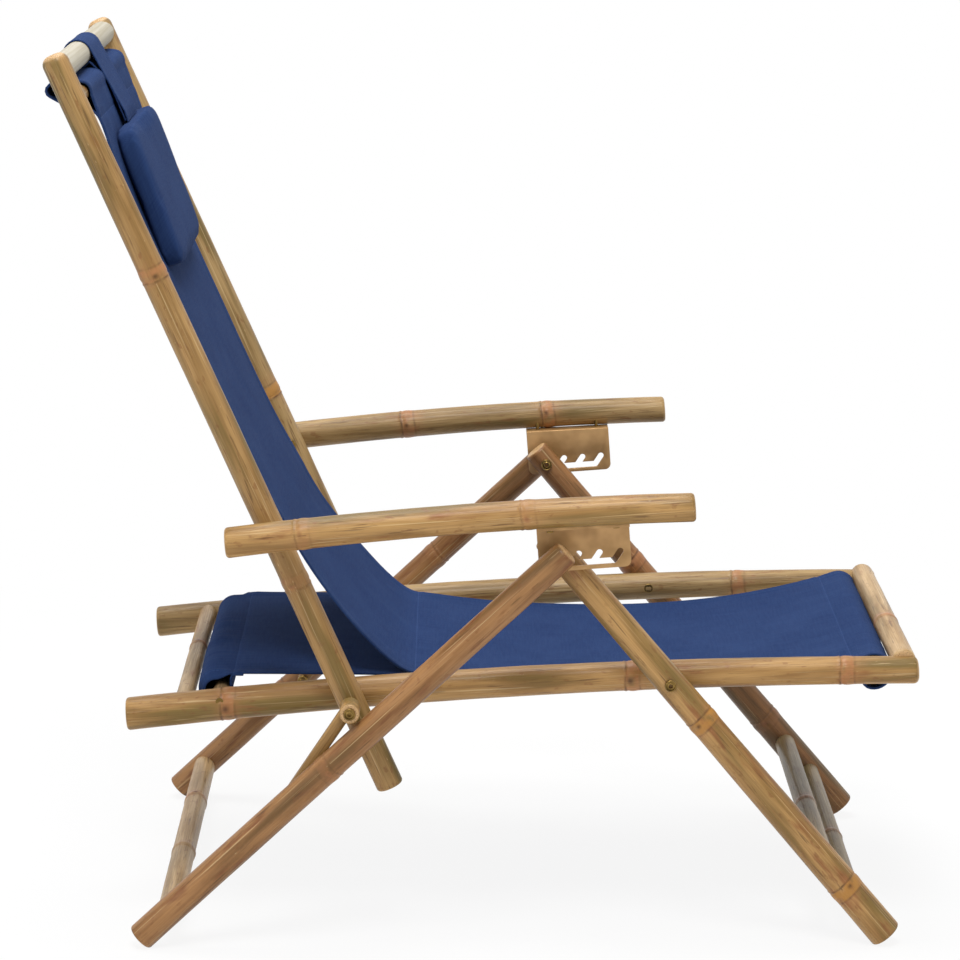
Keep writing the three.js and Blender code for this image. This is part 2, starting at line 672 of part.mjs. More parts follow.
// The headrest pillow: a soft box with a crown, its edges drawn in
function addPillow() {
  const geometry = new THREE.SphereGeometry(1, pillowSides, pillowRows);
  const position = geometry.attributes.position;
  const soften = (n, share) => Math.sign(n) * Math.abs(n) ** share;
  for (let i = 0; i < position.count; i++) {
    position.setXYZ(i,
      soften(position.getX(i), pillowFaceShare) * pillowThickness / 2,
      soften(position.getY(i), pillowEdgeShare) * pillowHeight / 2,
      soften(position.getZ(i), pillowEdgeShare) * pillowHalfWidth);
  }
  const forward = -topDowelSetback + tunnelRadius + gap + pillowThickness / 2;
  addPiece('headrest_pillow', geometry, canvas, {
    frame: caneFrame(onBack(pillowTopAlong - pillowHeight / 2, forward), uprightWay, 0),
  });
  const wrap = topBarRadius + gap + strapThickness / 2;
  const bar = onBack(topBarAlong);
  const up = 90 + uprightLean;
  const path = [onBack(pillowTopAlong + gap, forward + strapThickness)];
  for (let angle = strapWrapStart; angle <= strapWrapEnd; angle += strapWrapStep) {
    path.push(along(bar, heading(up + angle), wrap));
  }
  path.push(onBack(topBarAlong - topBarRadius - strapReturnDrop, wrap - strapThickness));
  path.push(onBack(pillowTopAlong + gap, forward - strapThickness));
  addPiece('headrest_strap', strip(path, strapThickness, strapHalfWidth), canvas);
}

addSeatFrame();
addFrontLegs();
addStays();
addRearLegs();
addBackPivots();
addBack();
addArms();
addSling();
addPillow();

// The origin is below the middle of the chair's length
const extent = new THREE.Box3().setFromObject(group, true);
group.position.x = -(extent.min.x + extent.max.x) / 2;

export default group;
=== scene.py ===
import json
import math

import bmesh
import bpy
from mathutils import Matrix, Vector, noise


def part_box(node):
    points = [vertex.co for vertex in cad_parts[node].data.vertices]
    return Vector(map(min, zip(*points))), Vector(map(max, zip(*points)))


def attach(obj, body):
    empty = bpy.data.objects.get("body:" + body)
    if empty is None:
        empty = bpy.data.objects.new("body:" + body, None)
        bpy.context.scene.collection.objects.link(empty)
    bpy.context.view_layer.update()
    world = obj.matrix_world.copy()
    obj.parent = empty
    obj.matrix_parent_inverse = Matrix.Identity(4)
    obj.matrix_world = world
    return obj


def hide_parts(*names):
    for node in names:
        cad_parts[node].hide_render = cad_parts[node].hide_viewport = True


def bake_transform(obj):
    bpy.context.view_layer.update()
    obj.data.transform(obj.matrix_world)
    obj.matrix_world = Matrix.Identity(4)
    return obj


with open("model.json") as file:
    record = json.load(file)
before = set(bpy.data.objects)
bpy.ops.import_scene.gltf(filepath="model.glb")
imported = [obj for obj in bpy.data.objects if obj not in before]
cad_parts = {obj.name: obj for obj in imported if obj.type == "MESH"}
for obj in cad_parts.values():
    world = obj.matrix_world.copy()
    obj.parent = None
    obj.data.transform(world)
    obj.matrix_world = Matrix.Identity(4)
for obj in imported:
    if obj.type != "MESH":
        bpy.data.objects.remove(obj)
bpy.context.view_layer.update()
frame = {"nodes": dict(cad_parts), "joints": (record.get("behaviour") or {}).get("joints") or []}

# A folding recliner of bamboo canes with a canvas sling, in metres, +X to its front and +Z up.
# "right" is the near side, at -Y, and "left" the far side.


def in_scene(name, data):
    made = bpy.data.objects.new(name, data)
    bpy.context.scene.collection.objects.link(made)
    return made


def stand(x_way, y_way, z_way, at):
    """The matrix of an object at a point, with its own axes along the three ways."""
    return Matrix.Translation(at) @ Matrix((x_way, y_way, z_way)).transposed().to_4x4()


# Camera: a long lens square to the chair's right side, a little above it
def set_camera():
    yaw, pitch, roll = -0.56, 10.96, 0.92
    place = Matrix.Translation((-0.0465, -4.252, 1.2795))
    for degrees, axis in ((yaw, "Z"), (90 - pitch, "X"), (roll, "Z")):
        place = place @ Matrix.Rotation(math.radians(degrees), 4, axis)
    lens = bpy.data.cameras.new("long_lens")
    lens.sensor_width = 36
    lens.lens = 144.2
    lens.clip_end = 60
    camera = in_scene("camera", lens)
    camera.matrix_world = place
    bpy.context.scene.camera = camera


set_camera()


# Places of the pivots in the side plane, as (forward, up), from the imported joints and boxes
def pivot_of(joint_name):
    joint = next(j for j in frame["joints"] if j["name"] == joint_name)
    return Vector((joint["pos_m"][0], joint["pos_m"][2]))


def middle_of(node):
    low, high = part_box(node)
    return (low + high) / 2


ACROSS = Vector((0, 1, 0))


def square_to(way):
    return Vector((-way.y, way.x))


def heading(degrees):
    return Vector((math.cos(math.radians(degrees)), math.sin(math.radians(degrees))))


def in_chair(flat, across=0.0):
    """A point of the side plane at a distance across the chair, or a way in that plane."""
    return Vector((flat.x, across, flat.y))


apex_middle = middle_of("apex_bolt_right")
APEX = Vector((apex_middle.x, apex_middle.z))
LEG_PIVOT = pivot_of("fold")
BACK_PIVOT = pivot_of("recline")
STAY_END = pivot_of("rear_leg_turn")
ARM_PIVOT = pivot_of("arm_turn")

RAIL_WAY = (LEG_PIVOT - BACK_PIVOT).normalized()
RAIL_SPAN = (LEG_PIVOT - BACK_PIVOT).length
FRONT_LEG_WAY = (LEG_PIVOT - APEX).normalized()
REAR_LEG_WAY = (STAY_END - APEX).normalized()
UPRIGHT_WAY = (ARM_PIVOT - BACK_PIVOT).normalized()
ARM_WAY = heading(5)

# Layers across the chair, from its middle
RAIL_LAYER = 0.2200
LEG_LAYER = 0.2544
OUTER_LAYER = 0.2989
SIDES = {"right": -1, "left": 1}

# The rails and the armrests, from their pivots, and how far each is bowed upward
RAIL_REAR = 0.244
RAIL_FRONT = RAIL_SPAN + 0.270
RAIL_LENGTH = RAIL_REAR + RAIL_FRONT
RAIL_BOW = 0.012
ARM_REAR = 0.047
ARM_FRONT = 0.448
ARM_LENGTH = ARM_REAR + ARM_FRONT
ARM_BOW = 0.005
ARM_RADIUS = 0.0165

TOP_DOWEL_SHIFT = UPRIGHT_WAY * 0.0075 - square_to(UPRIGHT_WAY) * 0.0095  # where the photograph shows it
FRONT_SKEW = 0.0125  # the front dowel and its tunnel lie about 5 mm lower at the near side
FRONT_DROP = 0.0020


def rail_bow(s):
    return -4 * RAIL_BOW * s * (s - RAIL_SPAN) / RAIL_LENGTH**2


def arm_bow(s):
    return 4 * ARM_BOW * s * (ARM_FRONT - s) / ARM_FRONT**2


def on_rail(s, rise=0.0):
    return BACK_PIVOT + RAIL_WAY * s + square_to(RAIL_WAY) * (rail_bow(s) + rise)


def on_back(s, forward=0.0):
    return BACK_PIVOT + UPRIGHT_WAY * s - square_to(UPRIGHT_WAY) * forward


# Materials
def colour(hex_value):
    """An sRGB hex value as the linear colour that a shader takes."""
    channels = [int(hex_value[i:i + 2], 16) / 255 for i in (1, 3, 5)]
    linear = [c / 12.92 if c <= 0.04045 else ((c + 0.055) / 1.055) ** 2.4 for c in channels]
    return (*linear, 1)


def add(tree, kind, inputs=None, **settings):
    """Adds one node. An input is given by name or number, as a value, as the output to link or as the node
    whose first output is linked."""
    made = tree.nodes.new("ShaderNode" + kind)
    for key, value in settings.items():
        setattr(made, key, value)
    for key, value in (inputs or {}).items():
        if isinstance(value, bpy.types.Node):
            value = value.outputs[0]
        if isinstance(value, bpy.types.NodeSocket):
            tree.links.new(value, made.inputs[key])
        else:
            made.inputs[key].default_value = value
    return made


def new_finish(name):
    finish = bpy.data.materials.new(name)
    finish.use_nodes = True
    finish.node_tree.nodes.clear()
    return finish, finish.node_tree


def lacquered_bamboo(name, straw, tan, shade, blush, seed, reddening=0.5):
    """Solid bamboo cane, sanded and clear lacquered: long straw and tan fibres under a satin film,
    olive and red-brown patches where the green skin was left on, and a dark scar at each node."""
    finish, tree = new_finish(name)
    place = add(tree, "TexCoord").outputs["Object"]
    start = (seed * 0.371, seed * 0.213, seed * 1.27)  # each cane shows another part of the patterns
    own = add(tree, "VectorMath", {0: place, 1: start}, operation="ADD")

    # Patterns stretched along the cane, whose own z runs its length, with their real width and length in
    # metres. Only the fibre bundles, about 0.4 mm wide, are drawn three times as coarse, to show
    pattern = {}
    for look, width, length, detail in (
        ("fibre bundles", 0.0013, 0.11, 3.0),
        ("tan patches", 0.013, 0.13, 4.0),
        ("olive skin", 0.026, 0.26, 3.0),
        ("red-brown skin", 0.011, 0.055, 4.0),
        ("dark streaks", 0.0030, 0.050, 4.0),
        ("brown stains", 0.0060, 0.013, 5.0),
        ("pale flecks", 0.0032, 0.012, 4.0),
        ("pale scratches", 0.0018, 0.16, 2.0),
        ("worn patches", 0.012, 0.010, 3.0),
        ("dents", 0.0045, 0.030, 3.0),
    ):
        scaled = add(tree, "Mapping", {"Vector": own, "Scale": (1 / width, 1 / width, 1 / length)})
        pattern[look] = add(tree, "TexNoise", {"Vector": scaled, "Scale": 1.0, "Detail": detail})
    fibres = pattern["fibre bundles"]

    # Each tint covers the skin where its pattern goes from the low to the high value, up to its share
    skin = colour(straw)
    for look, tint, low, high, most in (
        ("tan patches", tan, 0.34, 0.66, 1.0),
        ("olive skin", shade, 0.46, 0.68, 0.8),
        ("red-brown skin", blush, 0.70 - 0.22 * reddening, 0.86 - 0.20 * reddening, 0.8),
        ("dark streaks", "#54371d", 0.60, 0.70, 0.6),
        ("brown stains", "#7b4a27", 0.60, 0.70, 0.45),
        ("pale flecks", "#d8bd8c", 0.72, 0.78, 0.55),
        ("pale scratches", "#d9bd8c", 0.62, 0.72, 0.45),
        ("fibre bundles", "#60421f", 0.30, 0.75, 0.30),
    ):
        span = {"Value": pattern[look], "From Min": low, "From Max": high, "To Max": most}
        share = add(tree, "MapRange", span, interpolation_type="SMOOTHSTEP")
        skin = add(tree, "Mix", {0: share, 6: skin, 7: colour(tint)}, data_type="RGBA").outputs[2]

    # The marks painted on a cane: reddish haloes and golden bands, broken up where worn, and dark scars
    painted = add(tree, "Attribute", attribute_name="cane_marks")
    marks = add(tree, "SeparateColor", {0: painted.outputs["Color"]})
    worn = add(tree, "MapRange", {"Value": pattern["worn patches"], "From Min": 0.25, "From Max": 0.60},
               interpolation_type="SMOOTHSTEP")
    for mark, tint in ((marks.outputs[1], "#ad7247"), (painted.outputs["Alpha"], "#b17f36")):
        share = add(tree, "Math", {0: mark, 1: worn}, operation="MULTIPLY")
        skin = add(tree, "Mix", {0: share, 6: skin, 7: colour(tint)}, data_type="RGBA").outputs[2]
    skin = add(tree, "Mix", {0: marks.outputs[0], 6: skin, 7: colour("#553518")}, data_type="RGBA").outputs[2]

    # Sawn end grain: pale, with the dark dots of the fibre bundles 1.6 mm apart
    dots = add(tree, "TexVoronoi", {"Vector": own, "Scale": 1 / 0.0016})
    share = add(tree, "MapRange", {"Value": dots, "From Min": 0.10, "From Max": 0.42},
                interpolation_type="SMOOTHSTEP")
    sawn = add(tree, "Mix", {0: share, 6: colour("#7c5a35"), 7: colour("#c7a273")}, data_type="RGBA").outputs[2]
    skin = add(tree, "Mix", {0: marks.outputs[2], 6: skin, 7: sawn}, data_type="RGBA").outputs[2]

    rough = add(tree, "MapRange", {"Value": fibres, "To Min": 0.36, "To Max": 0.56})
    rise = add(tree, "Math", {0: fibres, 1: pattern["dents"]}, operation="ADD")
    bump = add(tree, "Bump", {"Height": rise, "Strength": 0.7, "Distance": 0.0007})
    surface = add(tree, "BsdfPrincipled", {
        "Base Color": skin, "Roughness": rough, "Normal": bump, "IOR": 1.48,
        "Specular IOR Level": 0.3, "Coat Weight": 0.14, "Coat Roughness": 0.2})
    add(tree, "OutputMaterial", {"Surface": surface})
    return finish


def sanded_hardwood(name, pale, grain):
    """Turned and sanded hardwood, unlacquered and matt: faint growth bands along the bar, and small pores."""
    finish, tree = new_finish(name)
    place = add(tree, "TexCoord").outputs["Object"]
    wood, noises = colour(pale), []
    for width, length, detail, low, high, most, tint in (
        (0.003, 0.25, 3.0, 0.38, 0.68, 1.0, grain),
        (0.0007, 0.008, 2.0, 0.60, 0.74, 0.35, "#a58d68"),
    ):
        scaled = add(tree, "Mapping", {"Vector": place, "Scale": (1 / width, 1 / width, 1 / length)})
        noises.append(add(tree, "TexNoise", {"Vector": scaled, "Scale": 1.0, "Detail": detail}))
        share = add(tree, "MapRange", {"Value": noises[-1], "From Min": low, "From Max": high, "To Max": most})
        wood = add(tree, "Mix", {0: share, 6: wood, 7: colour(tint)}, data_type="RGBA").outputs[2]
    bump = add(tree, "Bump", {"Height": noises[0], "Strength": 0.3, "Distance": 0.0003})
    surface = add(tree, "BsdfPrincipled", {"Base Color": wood, "Roughness": 0.62, "Normal": bump, "IOR": 1.46})
    add(tree, "OutputMaterial", {"Surface": surface})
    return finish


def coated_steel(name, tint, dark, cloud, grain, rough, relief, metallic):
    """Steel under a thin coloured film. cloud and grain are the (sizes in metres, detail) of the film's
    uneven tone and of its fine relief. relief is (strength, depth)."""
    finish, tree = new_finish(name)
    place = add(tree, "TexCoord").outputs["Object"]
    noises = []
    for sizes, detail in (cloud, grain):
        scaled = add(tree, "Mapping", {"Vector": place, "Scale": [1 / size for size in sizes]})
        noises.append(add(tree, "TexNoise", {"Vector": scaled, "Scale": 1.0, "Detail": detail}))
    share = add(tree, "MapRange", {"Value": noises[0], "From Min": 0.35, "From Max": 0.65})
    film = add(tree, "Mix", {0: share, 6: colour(tint), 7: colour(dark)}, data_type="RGBA").outputs[2]
    gloss = add(tree, "MapRange", {"Value": noises[0], "To Min": rough[0], "To Max": rough[1]})
    bump = add(tree, "Bump", {"Height": noises[1], "Strength": relief[0], "Distance": relief[1]})
    surface = add(tree, "BsdfPrincipled", {
        "Base Color": film, "Roughness": gloss, "Normal": bump, "Metallic": metallic})
    add(tree, "OutputMaterial", {"Surface": surface})
    return finish


HEM_STITCH_INSET = 0.012
STITCH_LENGTH = 0.0045
STITCH_FILL = 0.72  # of its length, the rest being the hole
STITCH_HALF_WIDTH = 0.0006  # real thread is about 0.5 mm across, drawn heavier so that it shows
WEAVE_PITCH = 0.0014  # real threads are about 0.5 mm apart, drawn coarser so that the weave shows


def dyed_canvas(name, half_width=None, seams=()):
    """Plain-woven cotton and polyester canvas, dyed navy blue: matt, with a fine square weave, slubs
    along both threads, a dye that is paler in places, and lockstitched hems and seams."""
    finish, tree = new_finish(name)
    # The ways of the two threads. On a boxed pillow the thickness carries the weave on round its ends
    if half_width is None:
        place, ways = add(tree, "TexCoord").outputs["Object"], ((1, 1, 0), (0, 0.7, 1))
    else:
        place, ways = add(tree, "UVMap", uv_map="weave").outputs[0], ((1, 0, 0), (0, 1, 0))
    across, down = [add(tree, "VectorMath", {0: place, 1: way}, operation="DOT_PRODUCT").outputs["Value"]
                    for way in ways]
    flat = add(tree, "CombineXYZ", {0: across, 1: down})

    turns = add(tree, "VectorMath", {0: flat, "Scale": 2 * math.pi / WEAVE_PITCH}, operation="SCALE")
    waves = add(tree, "SeparateXYZ", {0: add(tree, "VectorMath", {0: turns}, operation="SINE")})
    weave = add(tree, "Math", {0: waves.outputs[0], 1: waves.outputs[1]}, operation="MULTIPLY")

    # Slubs are 30 to 50 mm long and a few threads wide, and the dye is uneven over about 90 mm
    uneven = []
    for width, length in ((0.0022, 0.050), (0.030, 0.0022), (0.090, 0.070)):
        scaled = add(tree, "Mapping", {"Vector": flat, "Scale": (1 / width, 1 / length, 1)})
        uneven.append(add(tree, "TexNoise", {"Vector": scaled, "Scale": 1.0, "Detail": 2.0}))
    long_slubs, cross_slubs, bloom = uneven
    slubs = add(tree, "Mix", {0: 0.5, 2: long_slubs, 3: cross_slubs})

    cloth = colour("#20345e")
    for value, low, high, most, tint in (
        (slubs, 0.36, 0.64, 1.0, "#293f6a"),
        (bloom, 0.4, 0.7, 0.35, "#324874"),
        (weave, -1, 1, 0.22, "#1a294e"),
    ):
        share = add(tree, "MapRange", {"Value": value, "From Min": low, "From Max": high, "To Max": most})
        cloth = add(tree, "Mix", {0: share, 6: cloth, 7: colour(tint)}, data_type="RGBA").outputs[2]
    height = add(tree, "Math", {0: weave, 1: 0.35, 2: slubs}, operation="MULTIPLY_ADD")

    # Stitched lines: along both hems, and across at each seam
    lines = [(down, seam, across) for seam in seams]
    if half_width is not None:
        folded = add(tree, "Math", {0: across}, operation="ABSOLUTE")
        lines.append((folded, half_width - HEM_STITCH_INSET, down))
    for value, line, run in lines:
        away, stitch = value, run
        for how, number in (("SUBTRACT", line), ("ABSOLUTE", 0)):
            away = add(tree, "Math", {0: away, 1: number}, operation=how)
        for how, number in (("DIVIDE", STITCH_LENGTH), ("FRACT", 0), ("LESS_THAN", STITCH_FILL)):
            stitch = add(tree, "Math", {0: stitch, 1: number}, operation=how)
        share = add(tree, "Math", {0: away, 1: STITCH_HALF_WIDTH}, operation="LESS_THAN")
        for factor in (stitch, 0.22):
            share = add(tree, "Math", {0: share, 1: factor}, operation="MULTIPLY")
        cloth = add(tree, "Mix", {0: share, 6: cloth, 7: colour("#4a6296")}, data_type="RGBA").outputs[2]
        dent = add(tree, "MapRange", {"Value": away, "From Max": 0.003, "To Min": -1.2, "To Max": 0.0},
                   interpolation_type="SMOOTHSTEP")
        height = add(tree, "Math", {0: height, 1: dent}, operation="ADD")
    bump = add(tree, "Bump", {"Height": height, "Strength": 0.5, "Distance": 0.0006})
    surface = add(tree, "BsdfPrincipled", {
        "Base Color": cloth, "Roughness": 0.92, "Normal": bump, "Specular IOR Level": 0.12})
    add(tree, "OutputMaterial", {"Surface": surface})
    return finish


# Pieces
def make_piece(name, vertices, faces, finish, place=None):
    mesh = bpy.data.meshes.new(name)
    mesh.from_pydata(vertices, [], faces)
    mesh.polygons.foreach_set("use_smooth", [True] * len(mesh.polygons))
    mesh.materials.append(finish)
    made = in_scene(name, mesh)
    if place is not None:
        made.matrix_world = place
    return made


def close_up(made, sharp, merge=None):
    """Joins the points closer than merge, turns the faces out and marks edges over the angle as sharp."""
    shape = bmesh.new()
    shape.from_mesh(made.data)
    if merge:
        bmesh.ops.remove_doubles(shape, verts=shape.verts, dist=merge)
    bmesh.ops.recalc_face_normals(shape, faces=shape.faces)
    shape.to_mesh(made.data)
    shape.free()
    made.data.set_sharp_from_angle(angle=math.radians(sharp))


def between_rings(rows, count):
    """The faces between rings of points that follow each other."""
    return [(a + k, a + (k + 1) % count, a + count + (k + 1) % count, a + count + k)
            for a in range(0, (rows - 1) * count, count) for k in range(count)]


def fit_piece(made, body, slot, *nodes):
    """Fixes a piece to its body, in the place of the CAD nodes that it stands for."""
    if body:
        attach(made, body)
    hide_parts(*nodes)


def paint_marks(made, marks):
    """Writes (scar, halo, sawn end, golden band) at each point for the bamboo's finish."""
    paint = made.data.color_attributes.new("cane_marks", "FLOAT_COLOR", "POINT")
    paint.data.foreach_set("color", [c for mark in marks for c in mark])


def bell(distance, width):
    return math.exp(-(distance / width) ** 2)


def ease(value):
    value = min(max(value, 0.0), 1.0)
    return value * value * (3 - 2 * value)


FACETS = 48
ROUND = [2 * math.pi * k / FACETS for k in range(FACETS)]
NODE_BAND = 0.016  # from a node's lower scar to its upper one


def cane_stations(length, rounds, nodes):
    """Distances along a cane where its skin gets a ring, with how far the ring is drawn in."""
    first, last = rounds
    turns = [math.radians(a) for a in range(0, 91, 15)]
    stations = [(first * (1 - math.cos(a)), first * (1 - math.sin(a))) for a in turns]
    fine = {share * length + k * 0.0012 for share, *_ in nodes for k in range(-6, 19)}
    steps = round(length / 0.009)
    coarse = [first + (length - first - last) * k / steps for k in range(1, steps)]
    near = [s for s in coarse if all(abs(s - f) > 0.002 for f in fine)]
    stations += [(s, 0.0) for s in sorted(near + list(fine))]
    stations += [(length - last * (1 - math.cos(a)), last * (1 - math.sin(a))) for a in reversed(turns)]
    return stations


def cane(node, body, slot, finish, start, way, up, length, radii, nodes=(), grooves=(), rounds=(0.003, 0.003),
         bow=None, seed=0):
    """A bamboo cane. radii and rounds are those of its start and its end, nodes are (share of the length,
    bud's angle, look), and grooves (from, to, angle, depth), with angles from the cane's upper side towards
    the chair's right."""
    vertices, marks = [], []
    stations = cane_stations(length, rounds, nodes)

    def skin(s, angle):
        """Height over the plain taper, and the nodes' scar, reddish halo and golden band."""
        rise, scar, halo, gilt = 0.0, 0.0, 0.0, 0.0
        round_at = radii[0] + (radii[1] - radii[0]) * s / length
        for share, bud, look in nodes:
            strength = 0.4 if look == "faint" else 1.0
            wide = 1.6 if look == "knot" else 1.0
            d = s - share * length - 0.0009 * math.sin(2 * angle + seed)
            if not -0.03 < d < 0.05:
                continue
            off = math.remainder(angle - math.radians(bud), 2 * math.pi) * round_at
            rise += 0.00055 * bell(d, 0.0011) - 0.0003 * bell(d - 0.0026, 0.0013)
            rise += 0.0007 * bell(d - 0.0075, 0.006)
            eye = bell(d - 0.006, 0.0045 * wide) * bell(off, 0.004 * wide)
            rise += 0.0009 * eye - 0.0006 * bell(d - 0.006, 0.002) * bell(off, 0.0016)
            pupil = bell(d - 0.006, 0.0024 * wide) * bell(off, 0.0024 * wide)
            broken = 0.55 + 0.45 * math.sin(3 * angle + seed) * math.sin(5 * angle + 2 * seed)
            rings = max(bell(d - 0.0004, 0.0011), 0.6 * bell(d - NODE_BAND, 0.0011))
            scar = max(scar, strength * broken * rings, strength * pupil)
            band = ease(d / 0.0015) * ease((NODE_BAND - d) / 0.002)
            if look == "gold":
                gilt = max(gilt, 0.75 * band)
            halo = max(halo, strength * 0.7 * band, 0.45 * strength * bell(d - 0.009, 0.014), 0.9 * eye)
        for begin, end, at, depth in grooves:
            off = math.remainder(angle - math.radians(at), 2 * math.pi) * round_at
            share = (s / length - begin) / (end - begin)
            if 0 < share < 1:
                rise -= depth * ease(share * 12) * ease((1 - share) * 2.2) * bell(off, 0.0034)
        wave = noise.noise(Vector((math.cos(angle) * 0.8 + seed * 3.1, math.sin(angle) * 0.8, s * 22)))
        return rise - 0.00022 * (1 + wave), scar, halo, gilt

    for s, inset in stations:
        base = radii[0] + (radii[1] - radii[0]) * s / length - inset
        side = bow(s) if bow else 0.0
        for angle in ROUND:
            rise, scar, halo, gilt = skin(s, angle)
            radius = base + rise
            vertices.append((side + radius * math.cos(angle), radius * math.sin(angle), s))
            marks.append((scar, halo, ease((inset - 0.0012) / 0.0012), gilt))
    faces = between_rings(len(stations), FACETS)

    # Both ends, closed with rings of sawn grain round the pith, which has shrunk a little
    for end, s in ((0, 0.0), (1, length)):
        side = bow(s) if bow else 0.0
        ring = range(end * (len(stations) - 1) * FACETS, (end * (len(stations) - 1) + 1) * FACETS)
        for share in (0.7, 0.35, 0.0):
            first = len(vertices)
            reach = share * (radii[end] - rounds[end])
            if share:
                for angle in ROUND:
                    vertices.append((side + reach * math.cos(angle), reach * math.sin(angle), s))
                    marks.append((0, 0, 1, 0))
            else:
                vertices.append((side, 0, s - 0.0006 if end else s + 0.0006))
                marks.append((0.6, 0, 1, 0))
            for k in range(FACETS):
                n = (k + 1) % FACETS
                face = (ring[k], ring[n], first + n, first + k) if share else (ring[k], ring[n], first)
                faces.append(face if end else face[::-1])
            ring = range(first, first + FACETS)

    place = stand(up, way.cross(up), way, start)
    worn = []
    for vertex in vertices:
        at = place @ Vector(vertex)
        at.z = max(at.z, 0)  # the foot is worn flat on the floor
        worn.append(place.inverted() @ at)
    made = make_piece("cane_" + node, worn, faces, finish, place)
    paint_marks(made, marks)
    fit_piece(made, body, slot, node)


def cross_cane(node, body, slot, finish, half, radius, shift=None, slope=0.0, **details):
    """A bar across the chair, where its CAD node is. Its ends go into the canes that it meets."""
    middle = middle_of(node) + (in_chair(shift) if shift else Vector())
    start = Vector((middle.x, -half, middle.z - half * slope))
    cane(node, body, slot, finish, start, Vector((0, 1, slope)).normalized(),
         Vector((0, -slope, 1)).normalized(), 2 * half, (radius, radius), **details)


honey = {"straw": "#bb9259", "tan": "#976f3c", "shade": "#72602d", "blush": "#8a552d"}
golden = {"straw": "#b28c57", "tan": "#8f6c3a", "shade": "#6b5c2a", "blush": "#8a5c2c"}
olive = {"straw": "#b29260", "tan": "#8c6e3f", "shade": "#685828", "blush": "#85572d"}
pale_straw = {"straw": "#caa97a", "tan": "#a8834f", "shade": "#81683a", "blush": "#9c6a3e"}
tea_brown = {"straw": "#a77a4c", "tan": "#865c33", "shade": "#644a26", "blush": "#784626"}
red_brown = {"straw": "#9c6d40", "tan": "#7b542d", "shade": "#5f4a28", "blush": "#6d3f22"}
weathered = {"straw": "#9d875f", "tan": "#7b6847", "shade": "#625938", "blush": "#775838"}

# The long canes: layer, origin and way, length before the origin and in all, radii and roundings of both
# ends, bow, and the reddening of right and left. Then for each side its slot, tints, seed, nodes and grooves
for part, body, layer, origin, way, before, length, radii, rounds, bow, reddening, sides in (
    ("seat_rail", "seat_frame", RAIL_LAYER, BACK_PIVOT, RAIL_WAY, RAIL_REAR, RAIL_LENGTH, (0.018, 0.015),
     (0.0035, 0.006), rail_bow, (0.5, 0.5), {
         "right": ("bamboo", honey, 1.0, ((0.12, 95, "knot"), (0.63, 95, "knot"), (0.90, 200, "plain")),
                   ((0.13, 0.45, 60, 0.0008),)),
         "left": ("bamboo_pale", olive, 2.0, ((0.20, 250, "faint"), (0.80, 300, "plain")), ())}),
    ("front_leg", "front_legs", LEG_LAYER, APEX, FRONT_LEG_WAY, 0.020, 0.5761, (0.015, 0.018),
     (0.004, 0.003), None, (0.7, 0.6), {
         "right": ("bamboo", honey, 3.0, ((0.443, 110, "gold"), (0.864, 70, "gold")), ()),
         "left": ("bamboo_red", red_brown, 4.0, ((0.30, 90, "plain"), (0.74, 100, "faint")), ())}),
    ("rear_leg", "rear_legs", OUTER_LAYER, APEX, REAR_LEG_WAY, 0.013, 0.6218, (0.015, 0.0155),
     (0.006, 0.003), None, (0.75, 0.75), {
         "right": ("bamboo_red", tea_brown, 5.0, ((0.545, 80, "faint"),),
                   ((0.555, 0.99, 80, 0.0016), (0.02, 0.30, 120, 0.0006))),
         "left": ("bamboo_red", tea_brown, 6.0, ((0.30, 280, "faint"), (0.70, 80, "plain")),
                  ((0.72, 0.99, 80, 0.0012),))}),
    ("back_upright", "back", LEG_LAYER, BACK_PIVOT, UPRIGHT_WAY, 0.104, 0.858, (0.015, 0.0145),
     (0.0035, 0.010), None, (0.5, 0.5), {
         "right": ("bamboo", golden, 7.0, ((0.28, 70, "faint"), (0.70, 100, "plain")),
                   ((0.72, 0.99, 60, 0.0007),)),
         "left": ("bamboo", olive, 8.0, ((0.43, 60, "gold"),),
                  ((0.44, 0.98, 75, 0.0018), (0.10, 0.42, 80, 0.0010)))}),
    ("armrest", "armrests", OUTER_LAYER, ARM_PIVOT, ARM_WAY, ARM_REAR, ARM_LENGTH, (ARM_RADIUS, 0.0155),
     (0.004, 0.004), arm_bow, (0.5, 0.5), {
         "right": ("bamboo", honey, 9.0, ((0.15, 80, "faint"), (0.63, 95, "faint")), ()),
         "left": ("bamboo", olive, 10.0, ((0.36, 85, "plain"), (0.70, 75, "plain")), ())}),
):
    for side, (label, (slot, tints, seed, nodes, grooves)) in enumerate(sides.items()):
        finish = lacquered_bamboo(f"lacquered_bamboo_{part}_{label}", seed=seed, reddening=reddening[side],
                                  **tints)
        cane(f"{part}_{label}", body, slot, finish, in_chair(origin - way * before, SIDES[label] * layer),
             in_chair(way), in_chair(square_to(way)), length, radii, nodes, grooves, rounds,
             bow and (lambda s: bow(s - before)), seed)

